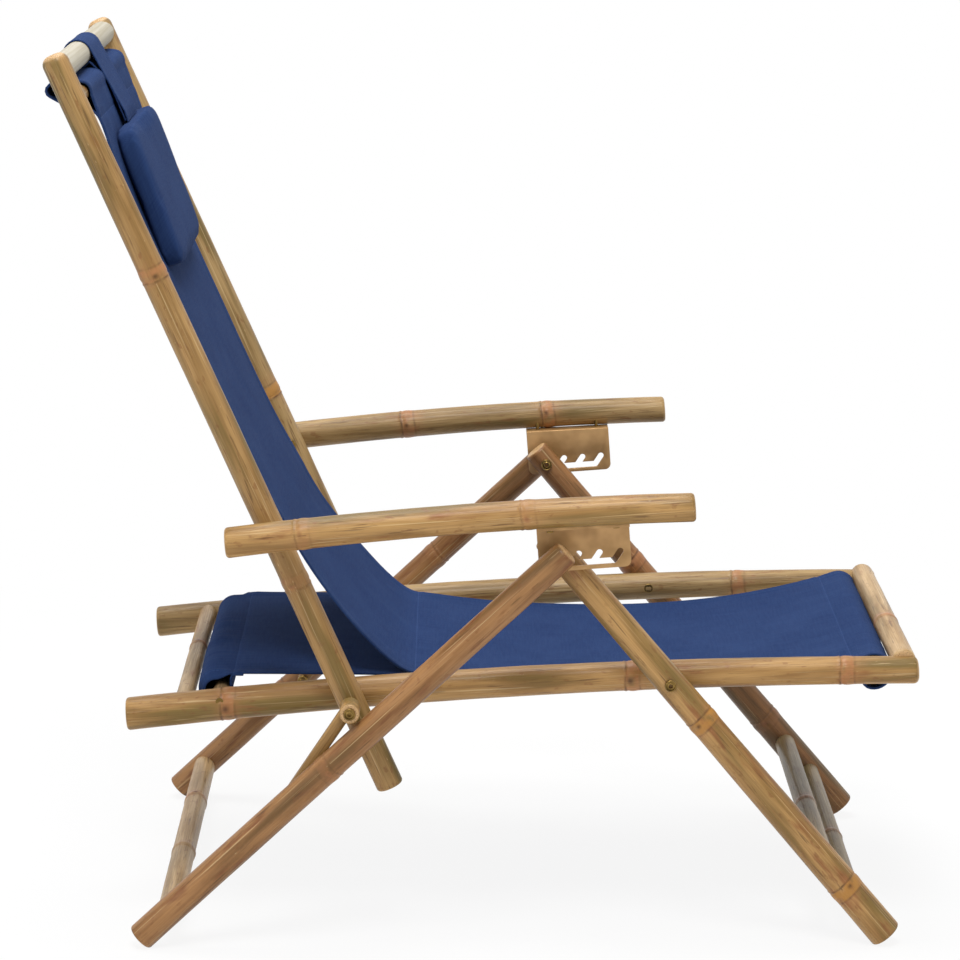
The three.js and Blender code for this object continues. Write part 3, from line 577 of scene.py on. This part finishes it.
# Bars across the chair
for node, body, slot, tints, seed, half, radius, nodes, grooves in (
    ("seat_front_bar", "seat_frame", "bamboo_pale", pale_straw, 11.0, RAIL_LAYER, 0.0135,
     ((0.38, 180, "plain"),), ()),
    ("seat_rear_bar", "seat_frame", "bamboo_pale", pale_straw, 12.0, RAIL_LAYER, 0.010,
     ((0.55, 0, "plain"),), ()),
    ("front_stretcher_upper", "front_legs", "bamboo_grey", weathered, 13.0, LEG_LAYER, 0.012,
     ((0.42, 180, "plain"),), ((0.05, 0.40, 200, 0.0012),)),
    ("front_stretcher_lower", "front_legs", "bamboo_grey", weathered, 14.0, LEG_LAYER, 0.011,
     ((0.40, 90, "plain"),), ()),
    ("rear_stretcher", "rear_legs", "bamboo", pale_straw, 15.0, OUTER_LAYER, 0.013,
     ((0.35, 90, "faint"), (0.70, 0, "plain")), ((0.36, 0.68, 180, 0.0012),)),
    ("back_top_dowel", "back", "bamboo", golden, 16.0, LEG_LAYER, 0.010, (), ()),
):
    cross_cane(node, body, slot, lacquered_bamboo(f"lacquered_bamboo_{node}", seed=seed, **tints), half, radius,
               TOP_DOWEL_SHIFT if node == "back_top_dowel" else None, nodes=nodes, grooves=grooves, seed=seed)

# The two sling dowels are pale wood, but they are drawn dark brown as painted shade: the colour stands for the
# shadow inside the canvas tunnels around them.
dowel_wood_painted_shade = sanded_hardwood("sanded_hardwood_painted_shade", "#8f7350", "#6f5636")
cream_wood = sanded_hardwood("sanded_hardwood_cream", "#b3ad9d", "#9f9680")
for node, body, finish, half, radius, slope, shift, seed in (
    ("back_top_bar", "back", cream_wood, LEG_LAYER, 0.014, 0.0, None, 17.0),
    ("front_sling_dowel", "seat_frame", dowel_wood_painted_shade, RAIL_LAYER, 0.012, FRONT_SKEW, Vector((0, -FRONT_DROP)),
     18.0),
    ("rear_sling_dowel", "seat_frame", dowel_wood_painted_shade, RAIL_LAYER, 0.010, 0.0, None, 19.0),
):
    cross_cane(node, body, "pale_wood", finish, half, radius, shift, slope, seed=seed)


# Metalwork and small turned pieces
def turned(name, node, body, slot, finish, profile, outward):
    """A turned piece on its CAD node's axis. profile is (radius, depth from the outer face), with "hexagon"
    after them for a hexagonal ring. outward is the outer face's direction across the chair."""
    low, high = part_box(node)
    middle = (low + high) / 2
    face = high.y if outward > 0 else low.y
    vertices = []
    for radius, depth, *hexagon in profile:
        for angle in ROUND:
            reach = radius / math.cos(math.remainder(angle, math.pi / 3)) if hexagon else radius
            vertices.append((reach * math.cos(angle), -outward * depth, reach * math.sin(angle)))
    made = make_piece(name, vertices, between_rings(len(profile), FACETS), finish,
                      Matrix.Translation((middle.x, face, middle.z)))
    close_up(made, 40, merge=0.00001)
    if slot == "bamboo":
        paint_marks(made, [(0, 0, 1.0 if abs(v.co.y) < 0.0008 else 0.0, 0) for v in made.data.vertices])
    fit_piece(made, body, slot, node)


def socket_bolt(node, body, outward):
    """A furniture bolt with a low domed head of 13 mm, a hexagon socket and a 6 mm shank."""
    low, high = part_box(node)
    length = high.y - low.y
    profile = [(0, 0.0052), (0.0022, 0.0052, "hexagon"), (0.0022, 0.0004, "hexagon"), (0.0030, 0.0002),
               (0.0037, 0.0006), (0.0039, 0.0017), (0.0049, 0.0019), (0.0051, 0.0006), (0.0059, 0.0002),
               (0.0064, 0.0008), (0.0065, 0.0018), (0.0065, 0.0035), (0.003, 0.0035), (0.003, length),
               (0, length)]
    turned("bolt_" + node, node, body, "brass", plated, profile, outward)


def drilled(node, body, slot, finish, outward, outer, edge):
    """A washer, nut, spacer or peg: a short tube that the bolt goes through, its edges broken."""
    low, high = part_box(node)
    length = high.y - low.y
    inner = 0.00335
    profile = [(inner, 0), (outer - edge, 0), (outer, edge), (outer, length - edge), (outer - edge, length),
               (inner, length), (inner, 0)]
    turned("turned_" + node, node, body, slot, finish, profile, outward)


# Yellow zinc plating, gold and a little rainbowed: it clouds over 12 mm and is scratched every 0.5 mm
plated = coated_steel("zinc_plated_steel", "#967a45", "#6c5730", ((0.012, 0.012, 0.012), 3.0),
                      ((0.02, 0.02, 0.0005), 2.0), (0.26, 0.42), (0.12, 0.0001), 1.0)
peg_bamboo = lacquered_bamboo("lacquered_bamboo_peg", seed=20.0, **honey)
for label, sign in SIDES.items():
    socket_bolt(f"leg_pivot_bolt_{label}", "front_legs", sign)
    socket_bolt(f"back_pivot_bolt_{label}", "back_pivots", sign)
    socket_bolt(f"apex_bolt_{label}", "front_legs", -sign)
    socket_bolt(f"stay_bolt_{label}", "rear_legs", -sign)
    socket_bolt(f"arm_bolt_{label}", "armrests", -sign)
    for node, body, outer, edge in (("leg_pivot_washer", "seat_frame", 0.009, 0.0002),
                                    ("back_pivot_washer", "seat_frame", 0.009, 0.0002),
                                    ("leg_pivot_nut", "front_legs", 0.0055, 0.0006),
                                    ("back_pivot_nut", "back_pivots", 0.0055, 0.0006),
                                    ("arm_spacer", "arm_spacers", 0.009, 0.0006)):
        drilled(f"{node}_{label}", body, "brass", plated, sign, outer, edge)
    drilled(f"rest_peg_{label}", "back_pivots", "bamboo", peg_bamboo, sign, 0.0108, 0.0014)


def under_arm(x, z):
    """Heights over the armrest's pivot, square to the arm: a point's, and that of the arm's underside there."""
    off = Vector((x, z)) - ARM_PIVOT
    along = off.dot(ARM_WAY)
    return off.dot(square_to(ARM_WAY)), arm_bow(along) - ARM_RADIUS + 0.001 * (ARM_REAR + along) / ARM_LENGTH


def bracket(label):
    """The CAD's own bracket, with its flange bent up to the armrest's bowed underside and its edges eased,
    as pressing leaves them."""
    node = f"arm_bracket_{label}"
    shape = bmesh.new()
    shape.from_mesh(frame["nodes"][node].data)
    bmesh.ops.remove_doubles(shape, verts=shape.verts, dist=0.00002)
    heights = {vertex: under_arm(vertex.co.x, vertex.co.z) for vertex in shape.verts}
    top = max(height for height, _ in heights.values())
    for vertex, (height, under) in heights.items():
        vertex.co += in_chair(square_to(ARM_WAY) * (under - top) * ease((height - top + 0.016) / 0.011))
    bmesh.ops.dissolve_limit(shape, angle_limit=math.radians(3), verts=shape.verts, edges=shape.edges)
    hard = [e for e in shape.edges if len(e.link_faces) == 2 and e.calc_face_angle() > math.radians(50)]
    bmesh.ops.bevel(shape, geom=hard, offset=0.0006, segments=3, profile=0.5, affect="EDGES",
                    clamp_overlap=True)
    bmesh.ops.triangulate(shape, faces=shape.faces)
    mesh = bpy.data.meshes.new("eased_" + node)
    shape.to_mesh(mesh)
    shape.free()
    mesh.materials.append(bronze)
    mesh.polygons.foreach_set("use_smooth", [True] * len(mesh.polygons))
    mesh.set_sharp_from_angle(angle=math.radians(35))
    fit_piece(in_scene("eased_" + node, mesh), "armrests", "bronze_paint", node)


# Gold-bronze lacquer with a soft metallic sheen: uneven over 25 mm, with a 1.5 mm orange-peel ripple
bronze = coated_steel("bronze_lacquered_steel", "#c39a66", "#a47e4e", ((0.025, 0.025, 0.025), 2.0),
                      ((0.0015, 0.0015, 0.0015), 1.0), (0.34, 0.48), (0.15, 0.0002), 0.35)
for label in SIDES:
    bracket(label)
    for node in (f"dowel_screw_{label}", f"bracket_screw_{label}_1", f"bracket_screw_{label}_2",
                 f"apex_insert_{label}"):
        frame["nodes"][node].data.materials[0] = plated


def stay(label):
    """A slim bamboo link: a flat bar 13 mm wide with round ends and its edges eased."""
    node = f"stay_{label}"
    low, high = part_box(node)
    depth = high.y - low.y
    length = (STAY_END - BACK_PIVOT).length
    way = (STAY_END - BACK_PIVOT).normalized()
    vertices = []
    levels = ((0.0016, 0.0), (0.0005, 0.0005), (0.0, 0.0016), (0.0, depth - 0.0016),
              (0.0005, depth - 0.0005), (0.0016, depth))
    for inset, level in levels:
        for first, end in ((180, 0), (0, length)):
            for a in range(first, first + 181, 15):
                at = heading(a) * (0.0065 - inset)
                vertices.append((at.x, level, at.y + end))
    count = len(vertices) // len(levels)
    faces = between_rings(len(levels), count)
    faces += [tuple(range(count)), tuple(range(len(vertices) - count, len(vertices)))]
    place = stand(in_chair(square_to(way)), ACROSS, in_chair(way), in_chair(BACK_PIVOT, low.y))
    made = make_piece("slat_" + node, vertices, faces, stay_bamboo, place)
    close_up(made, 50)
    paint_marks(made, [(0, 0, 0, 0)] * len(made.data.vertices))
    fit_piece(made, "stays", "bamboo", node)


stay_bamboo = lacquered_bamboo("lacquered_bamboo_stay", seed=21.0, **golden)
for label in SIDES:
    stay(label)


# Canvas
CLOTH = 0.0014
HEM_CLOTH = 0.0026
HEM_WIDTH = 0.016
SLING_HALF = 0.200
TUNNEL_MID = 0.0190  # radius of the canvas's middle in the front and rear tunnels
TUNNEL_TURN = 216  # degrees that the canvas follows this radius
FRONT_ARRIVAL = 115  # heading from a tunnel's middle to where its panel comes in
REAR_ARRIVAL = 90
TOP_LOOP_AT = on_back(0.702, -0.003)
FRONT_TUNNEL_AT = on_rail(RAIL_FRONT - 0.044, 0.002) + heading(225) * 0.0063 + RAIL_WAY * 0.0030
REAR_TUNNEL_AT = on_rail(-RAIL_REAR + 0.102, 0.007) + heading(150) * 0.00755
SEAM_AT = BACK_PIVOT + RAIL_WAY * (0.069 / RAIL_WAY.x) + square_to(RAIL_WAY) * 0.013
LAP_TOP = on_back(0.185, 0.0095)
FRONT_REACH = 0.016  # from where a panel comes in to the tunnel's stitched line
REAR_REACH = 0.020
TOP_REACH = 0.026
# The loose top tunnel, in millimetres from its middle: up the front, over, out behind and back beneath
TOP_LOOP = (
    (17.2, 2.5), (16.0, 9.5), (11.2, 15.4), (1.0, 17.0), (-12.0, 16.0), (-24.0, 14.6), (-31.0, 9.0),
    (-30.5, 2.0), (-23.0, -3.0), (-12.0, -8.5), (-2.0, -12.4), (8.0, -13.6), (16.0, -14.2), (21.0, -17.0),
    (24.8, -22.0), (29.0, -31.0),
)


def bezier(points, share):
    while len(points) > 1:
        points = [a.lerp(b, share) for a, b in zip(points, points[1:])]
    return points[0]


def curve(points, first=0.0, last=1.0, steps=60):
    return [bezier(points, first + (last - first) * k / steps) for k in range(steps + 1)]


def through(points, steps=6):
    """A smooth line through the points."""
    ends = [2 * points[0] - points[1], *points, 2 * points[-1] - points[-2]]
    made = [points[0]]
    for a, b, c, d in zip(ends, ends[1:], ends[2:], ends[3:]):
        made += curve([b, b + (c - a) / 6, c - (d - b) / 6, c], steps=steps)[1:]
    return made


def tunnel_loop(centre, arrival, turn, panel_way, under, reach):
    """From the panel's arrival round the tunnel and back to the stitched line beneath the panel."""
    start = centre + heading(arrival) * TUNNEL_MID
    points = [centre + heading(arrival + turn * a) * TUNNEL_MID for a in range(6, TUNNEL_TURN + 1, 6)]
    leave = heading(arrival + turn * (TUNNEL_TURN + 90))
    under_panel = under * (HEM_CLOTH + CLOTH) / 2
    stitched = start + panel_way * reach + under_panel
    points += curve([points[-1], points[-1] + leave * 0.014, stitched - panel_way * 0.008, stitched],
                    steps=16)[1:]
    points += [stitched + panel_way * 0.005, stitched + panel_way * 0.010]
    return points


def run_of(points):
    """The length along a line of points."""
    return sum((b - a).length for a, b in zip(points, points[1:]))


def even_points(points, pitch):
    """The same line with points at an even pitch, and its length."""
    runs = [0.0]
    for a, b in zip(points, points[1:]):
        runs.append(runs[-1] + (b - a).length)
    count = max(2, round(runs[-1] / pitch))
    made, k = [], 0
    for i in range(count + 1):
        target = runs[-1] * i / count
        while k < len(points) - 2 and runs[k + 1] < target:
            k += 1
        share = (target - runs[k]) / max(runs[k + 1] - runs[k], 1e-9)
        made.append(points[k].lerp(points[k + 1], share))
    return made, runs[-1]


def hemmed_strip(name, points, half, finish, relief, waist=(0.0, 1.0), skew=None, cloth=CLOTH,
                 hem=HEM_CLOTH):
    """A hemmed strip of canvas along a line of the side plane, and its length. relief(u, v) lifts it square
    to its face and skew(u, v) upright, u across the chair and v along the line. waist is the share by which
    it is drawn in half-way, and the length that this goes over."""
    line, length = even_points(points, 0.004)
    inner = half - HEM_WIDTH
    edge = [half, half - 0.0006, half - 0.004, inner + 0.002]
    count = max(4, round(2 * inner / 0.006))
    columns = [-x for x in edge] + [inner * (2 * k / count - 1) for k in range(count + 1)] + edge[::-1]
    vertices, uvs = [], []
    for side in (1, -1):
        for i, p in enumerate(line):
            before, after = line[max(i - 1, 0)], line[min(i + 1, len(line) - 1)]
            out = square_to((after - before).normalized())
            v = length * i / (len(line) - 1)
            narrow = 1 - waist[0] * math.sin(math.pi * min(max(v / waist[1], 0), 1))
            for u in columns:
                thick = hem if abs(u) > inner + 0.001 else cloth
                if abs(u) > half - 0.0003:
                    thick *= 0.35
                at = p + out * (relief(u, v) + side * thick / 2) + Vector((0, skew(u, v) if skew else 0))
                vertices.append((at.x, u * narrow, at.y))
                uvs.append((u, v))
    width, height = len(columns), len(line)
    faces = []
    back = width * height
    for row in range(0, back - width, width):
        for a in range(row, row + width - 1):
            faces.append((a, a + width, a + width + 1, a + 1))
            faces.append((back + a, back + a + 1, back + a + width + 1, back + a + width))
        faces += [(a, back + a, back + a + width, a + width) for a in (row, row + width - 1)]
    faces += [(a, back + a, back + a + 1, a + 1) for a in (*range(width - 1), *range(back - width, back - 1))]
    made = make_piece(name, vertices, faces, finish)
    layer = made.data.uv_layers.new(name="weave")
    for loop in made.data.loops:
        layer.data[loop.index].uv = uvs[loop.vertex_index]
    close_up(made, 50)
    return made, length


def ripple(u, v, seed):
    """Slack in stretched canvas, a few millimetres over a hand's width."""
    slack = noise.noise(Vector((u * 7, v * 5, seed)))
    return 0.0016 * slack + 0.0004 * noise.noise(Vector((u * 30, v * 12, seed)))


def puckers(u, v, at, reach, depth, seed):
    """Small gathers square to a stitched line, where the thread has drawn the canvas in."""
    wander = 1.3 * noise.noise(Vector((u * 18, seed, v * 6)))
    return depth * math.sin(2 * math.pi * u / 0.013 + 3 * wander) * bell(v - at, reach) * (0.6 + 0.4 * wander)


def cinched(u, past, depth):
    """The ends of a tunnel drawn in round its dowel, which starts where past is 0."""
    at_loop = ease((past + 0.020) / 0.020) * ease((0.045 - past) / 0.015)
    return depth * ease((abs(u) - SLING_HALF + 0.018) / 0.018) * at_loop


lap = [LAP_TOP, LAP_TOP - UPRIGHT_WAY * 0.050, SEAM_AT - RAIL_WAY * 0.030, SEAM_AT.copy()]
LAP_JOIN = 0.42
front_end = FRONT_TUNNEL_AT + heading(FRONT_ARRIVAL) * TUNNEL_MID
seat_middle = SEAM_AT.lerp(front_end, 0.6) - square_to(RAIL_WAY) * 0.054  # draws the seat's sag, half as deep

# Seat panel, from the middle of the lap over the seam to the front tunnel
seat_line = curve(lap, LAP_JOIN, 1.0, 30) + curve([SEAM_AT, seat_middle, front_end], steps=80)[1:]
lap_run = run_of(seat_line[:31])
seat_run = run_of(seat_line)
back_along_seat = (seat_middle - front_end).normalized()
seat_line += tunnel_loop(FRONT_TUNNEL_AT, FRONT_ARRIVAL, -1, back_along_seat, -square_to(RAIL_WAY),
                         FRONT_REACH)
seat_panel, seat_length = hemmed_strip(
    "canvas_seat_panel", seat_line, SLING_HALF,
    dyed_canvas("dyed_canvas_seat", SLING_HALF, (lap_run, seat_run - FRONT_REACH)),
    lambda u, v: ripple(u, v, 4.0) * ease(v / 0.05) - 0.0009 * bell(v - lap_run, 0.0026)
    - 0.0010 * bell(v - seat_run + FRONT_REACH, 0.0026)
    + puckers(u, v, seat_run - FRONT_REACH + 0.004, 0.012, 0.0006, 2.0),
    waist=(0.012, seat_run),
    skew=lambda u, v: (FRONT_SKEW * u - FRONT_DROP) * ease((v - seat_run + 0.22) / 0.20))

# Back panel, from the middle of the lap up to the top tunnel
top_loop = through([TOP_LOOP_AT + Vector(place) * 0.001 for place in TOP_LOOP])
back_line = curve(lap, LAP_JOIN, 0.0, 30)
back_line += through([LAP_TOP, on_back(0.26, 0.0035), on_back(0.35, 0.0018), on_back(0.45, 0.0015),
                      on_back(0.55, 0.0025), on_back(0.61, 0.0060), on_back(0.65, 0.0105), top_loop[0]], 16)[1:]
back_run = run_of(back_line)
back_line += top_loop[1:]
back_panel, back_length = hemmed_strip(
    "canvas_back_panel", back_line, SLING_HALF,
    dyed_canvas("dyed_canvas_back", SLING_HALF, (back_run - TOP_REACH,)),
    lambda u, v: ripple(u, v, 9.0) * ease(v / 0.05) + puckers(u, v, back_run - 0.016, 0.020, 0.0008, 5.0)
    + 0.0009 * bell(v - back_run + TOP_REACH, 0.0026),
    waist=(0.012, back_run))

# Rear panel, from the seam back to the rear tunnel
rear_top = REAR_TUNNEL_AT + heading(REAR_ARRIVAL) * TUNNEL_MID
rear_start = SEAM_AT - RAIL_WAY * 0.002 - square_to(RAIL_WAY) * 0.0023
rear_line = [rear_start.lerp(rear_top, k / 50) for k in range(51)]
rear_run = (rear_top - rear_start).length
rear_line += tunnel_loop(REAR_TUNNEL_AT, REAR_ARRIVAL, 1, (rear_start - rear_top).normalized(),
                         -square_to(RAIL_WAY), REAR_REACH)
rear_panel, rear_length = hemmed_strip(
    "canvas_rear_panel", rear_line, SLING_HALF,
    dyed_canvas("dyed_canvas_rear", SLING_HALF, (rear_run - REAR_REACH,)),
    lambda u, v: ripple(u, v, 13.0) * ease(v / 0.06) + 0.0010 * bell(v - rear_run + REAR_REACH, 0.0026)
    + puckers(u, v, rear_run + 0.002, 0.024, 0.0011, 7.0) + cinched(u, v - rear_run, 0.0065),
    waist=(0.010, rear_run))

fit_piece(seat_panel, None, "canvas", "sling_seat", "sling_lap")
fit_piece(back_panel, None, "canvas", "sling_back")
fit_piece(rear_panel, "seat_frame", "canvas", "sling_rear_panel")
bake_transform(seat_panel)
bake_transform(back_panel)


# Headrest: a boxed pillow on a strap that loops over the top bar
PILLOW_HALF = 0.152
PILLOW_TALL = 0.172
PILLOW_THICK = 0.024
PILLOW_TOP = 0.654
PILLOW_FORWARD = 0.0160  # of its middle, lying on the sagging sling
PILLOW_TILT = math.radians(3.7)
PILLOW_CAP = 0.0028  # how far filling moves a point


def pillow_case():
    """A closed box of canvas panels with drawn-in corners, a little smaller than the filled pillow."""
    shape = bmesh.new()
    bmesh.ops.create_cube(shape, size=2)
    bmesh.ops.subdivide_edges(shape, edges=shape.edges, cuts=15, use_grid_fill=True)
    half = Vector((PILLOW_HALF - 0.005, PILLOW_THICK / 2 - 0.002, PILLOW_TALL / 2 - 0.004))
    for vertex in shape.verts:
        x, y, z = vertex.co
        pull = 1 - 0.06 * abs(x) ** 6 * abs(z) ** 6
        crown = 1 - 0.10 * max(abs(x), abs(z)) ** 8
        vertex.co = (half.x * x * pull, half.y * y * crown, half.z * z * pull)
    mesh = bpy.data.meshes.new("pillow_case")
    shape.to_mesh(mesh)
    shape.free()
    return mesh


def fill_pillow(made):
    """Blows the case up with the cloth solver and keeps each point within the cap of where it began."""
    bpy.context.view_layer.objects.active = made
    made.select_set(True)
    remesh = made.modifiers.new("remesh", "REMESH")
    remesh.mode = "VOXEL"
    remesh.voxel_size = 0.004
    bpy.ops.object.modifier_apply(modifier=remesh.name)
    before = [v.co.copy() for v in made.data.vertices]
    cloth = made.modifiers.new("filling", "CLOTH")
    cloth.settings.use_pressure = True
    cloth.settings.uniform_pressure_force = 4
    cloth.settings.effector_weights.gravity = 0
    cloth.point_cache.frame_start = 1
    cloth.point_cache.frame_end = 20
    for frame_number in range(1, 21):
        bpy.context.scene.frame_set(frame_number)
    bpy.ops.object.modifier_apply(modifier=cloth.name)
    bpy.context.scene.frame_set(1)
    for vertex, start in zip(made.data.vertices, before):
        move = vertex.co - start
        if move.length > PILLOW_CAP:
            vertex.co = start + move.normalized() * PILLOW_CAP


pillow = in_scene("headrest_pillow_case", pillow_case())
pillow_up = in_chair(UPRIGHT_WAY)
pillow_up.rotate(Matrix.Rotation(PILLOW_TILT, 3, "Y"))
pillow.matrix_world = stand(ACROSS, pillow_up.cross(ACROSS), pillow_up,
                            in_chair(on_back(PILLOW_TOP - PILLOW_TALL / 2, PILLOW_FORWARD)))
fill_pillow(pillow)
for vertex in pillow.data.vertices:
    vertex.co.y = min(vertex.co.y, PILLOW_THICK / 2 + 0.0002)  # the back lies on the sling
    vertex.co.x = min(max(vertex.co.x, -PILLOW_HALF - 0.004), PILLOW_HALF + 0.004)
    # Gathers where the strap is sewn in
    gathered = bell(vertex.co.z - PILLOW_TALL / 2, 0.022) * ease((0.075 - abs(vertex.co.x)) / 0.02)
    if vertex.co.y < 0:
        vertex.co.y += 0.0018 * gathered * math.sin(2 * math.pi * vertex.co.x / 0.019)
smooth = pillow.modifiers.new("smooth", "SUBSURF")
smooth.levels = smooth.render_levels = 1
bpy.context.view_layer.objects.active = pillow
bpy.ops.object.modifier_apply(modifier=smooth.name)
pillow.data.polygons.foreach_set("use_smooth", [True] * len(pillow.data.polygons))
pillow.data.materials.clear()
pillow.data.materials.append(dyed_canvas("dyed_canvas_pillow"))
fit_piece(pillow, "back", "canvas", "headrest_pillow")

BAR_AT = on_back(0.737)
BACK_LEAN = 24.8  # degrees
WRAP = 0.014 + 0.0004 + CLOTH / 2  # radius of the strap round the top bar
STRAP_HALF = 0.055
strap_line = [on_back(PILLOW_TOP - 0.006, PILLOW_FORWARD + 0.0035),
              on_back(PILLOW_TOP + 0.006, PILLOW_FORWARD + 0.005)]
strap_line += [BAR_AT + heading(BACK_LEAN + a) * WRAP for a in range(0, 301, 8)]
strap_line += through([BAR_AT + heading(BACK_LEAN + 304) * WRAP, on_back(0.711, 0.0135),
                       on_back(0.694, 0.0182), on_back(PILLOW_TOP - 0.004, PILLOW_FORWARD + 0.0015)])
strap, strap_length = hemmed_strip("canvas_headrest_strap", strap_line, STRAP_HALF,
                                   dyed_canvas("dyed_canvas_strap", STRAP_HALF), lambda u, v: 0.0,
                                   cloth=0.0013, hem=0.0018)
fit_piece(strap, "back", "canvas", "headrest_strap")


# Floor, lights and backdrop: a white studio
def seen_rays(tree):
    """1 for the rays that show a surface, straight, mirrored or through glass, and 0 for those that light."""
    ray = add(tree, "LightPath").outputs
    seen = ray["Is Camera Ray"]
    for kind in ("Is Glossy Ray", "Is Transmission Ray"):
        seen = add(tree, "Math", {0: seen, 1: ray[kind]}, operation="MAXIMUM")
    return seen


def studio_floor():
    """White vinyl sweep: it keeps the chair's soft shadow and meets the white backdrop unseen."""
    finish, tree = new_finish("white_vinyl_sweep")
    matt = add(tree, "BsdfDiffuse", {"Color": colour("#f4f4f4")})
    white = add(tree, "Emission", {"Color": colour("#ffffff"), "Strength": 1.0})
    away = add(tree, "VectorMath", {0: add(tree, "TexCoord").outputs["Object"]}, operation="LENGTH")
    span = {"Value": away.outputs["Value"], "From Min": 0.5, "From Max": 1.6, "To Min": 0.88, "To Max": 1.0}
    glow = add(tree, "MapRange", span, interpolation_type="SMOOTHSTEP")
    share = add(tree, "Math", {0: seen_rays(tree), 1: glow}, operation="MULTIPLY")
    both = add(tree, "MixShader", {0: share, 1: matt, 2: white})
    add(tree, "OutputMaterial", {"Surface": both})
    corners = [(-30, -30, 0), (30, -30, 0), (30, 30, 0), (-30, 30, 0)]
    floor = make_piece("studio_floor", corners, [(0, 1, 2, 3)], finish, Matrix.Translation((0, 0, -0.0005)))


def soft_box(name, at, power, size):
    light = bpy.data.lights.new(name, "AREA")
    light.shape = "DISK"
    light.size = size
    light.energy = power
    made = in_scene(name, light)
    made.location = at
    made.rotation_euler = (Vector((0, 0, 0.4)) - Vector(at)).to_track_quat("-Z", "Y").to_euler()


def white_room():
    """A white backdrop that lights the chair at about half the level that it is seen at."""
    world = bpy.data.worlds.new("white_room")
    bpy.context.scene.world = world
    world.use_nodes = True
    tree = world.node_tree
    tree.nodes.clear()
    level = add(tree, "MapRange", {"Value": seen_rays(tree), "To Min": 0.54, "To Max": 1.0})
    sky = add(tree, "Background", {"Color": (1, 1, 1, 1), "Strength": level})
    add(tree, "OutputWorld", {"Surface": sky})


studio_floor()
white_room()
soft_box("key_softbox", (-0.1, -2.0, 3.8), 74, 1.4)
soft_box("top_softbox", (-0.5, 0.7, 3.6), 66, 2.0)
soft_box("fill_softbox", (-3.0, -2.4, 1.6), 12, 2.0)
bpy.context.scene.view_settings.view_transform = "Standard"
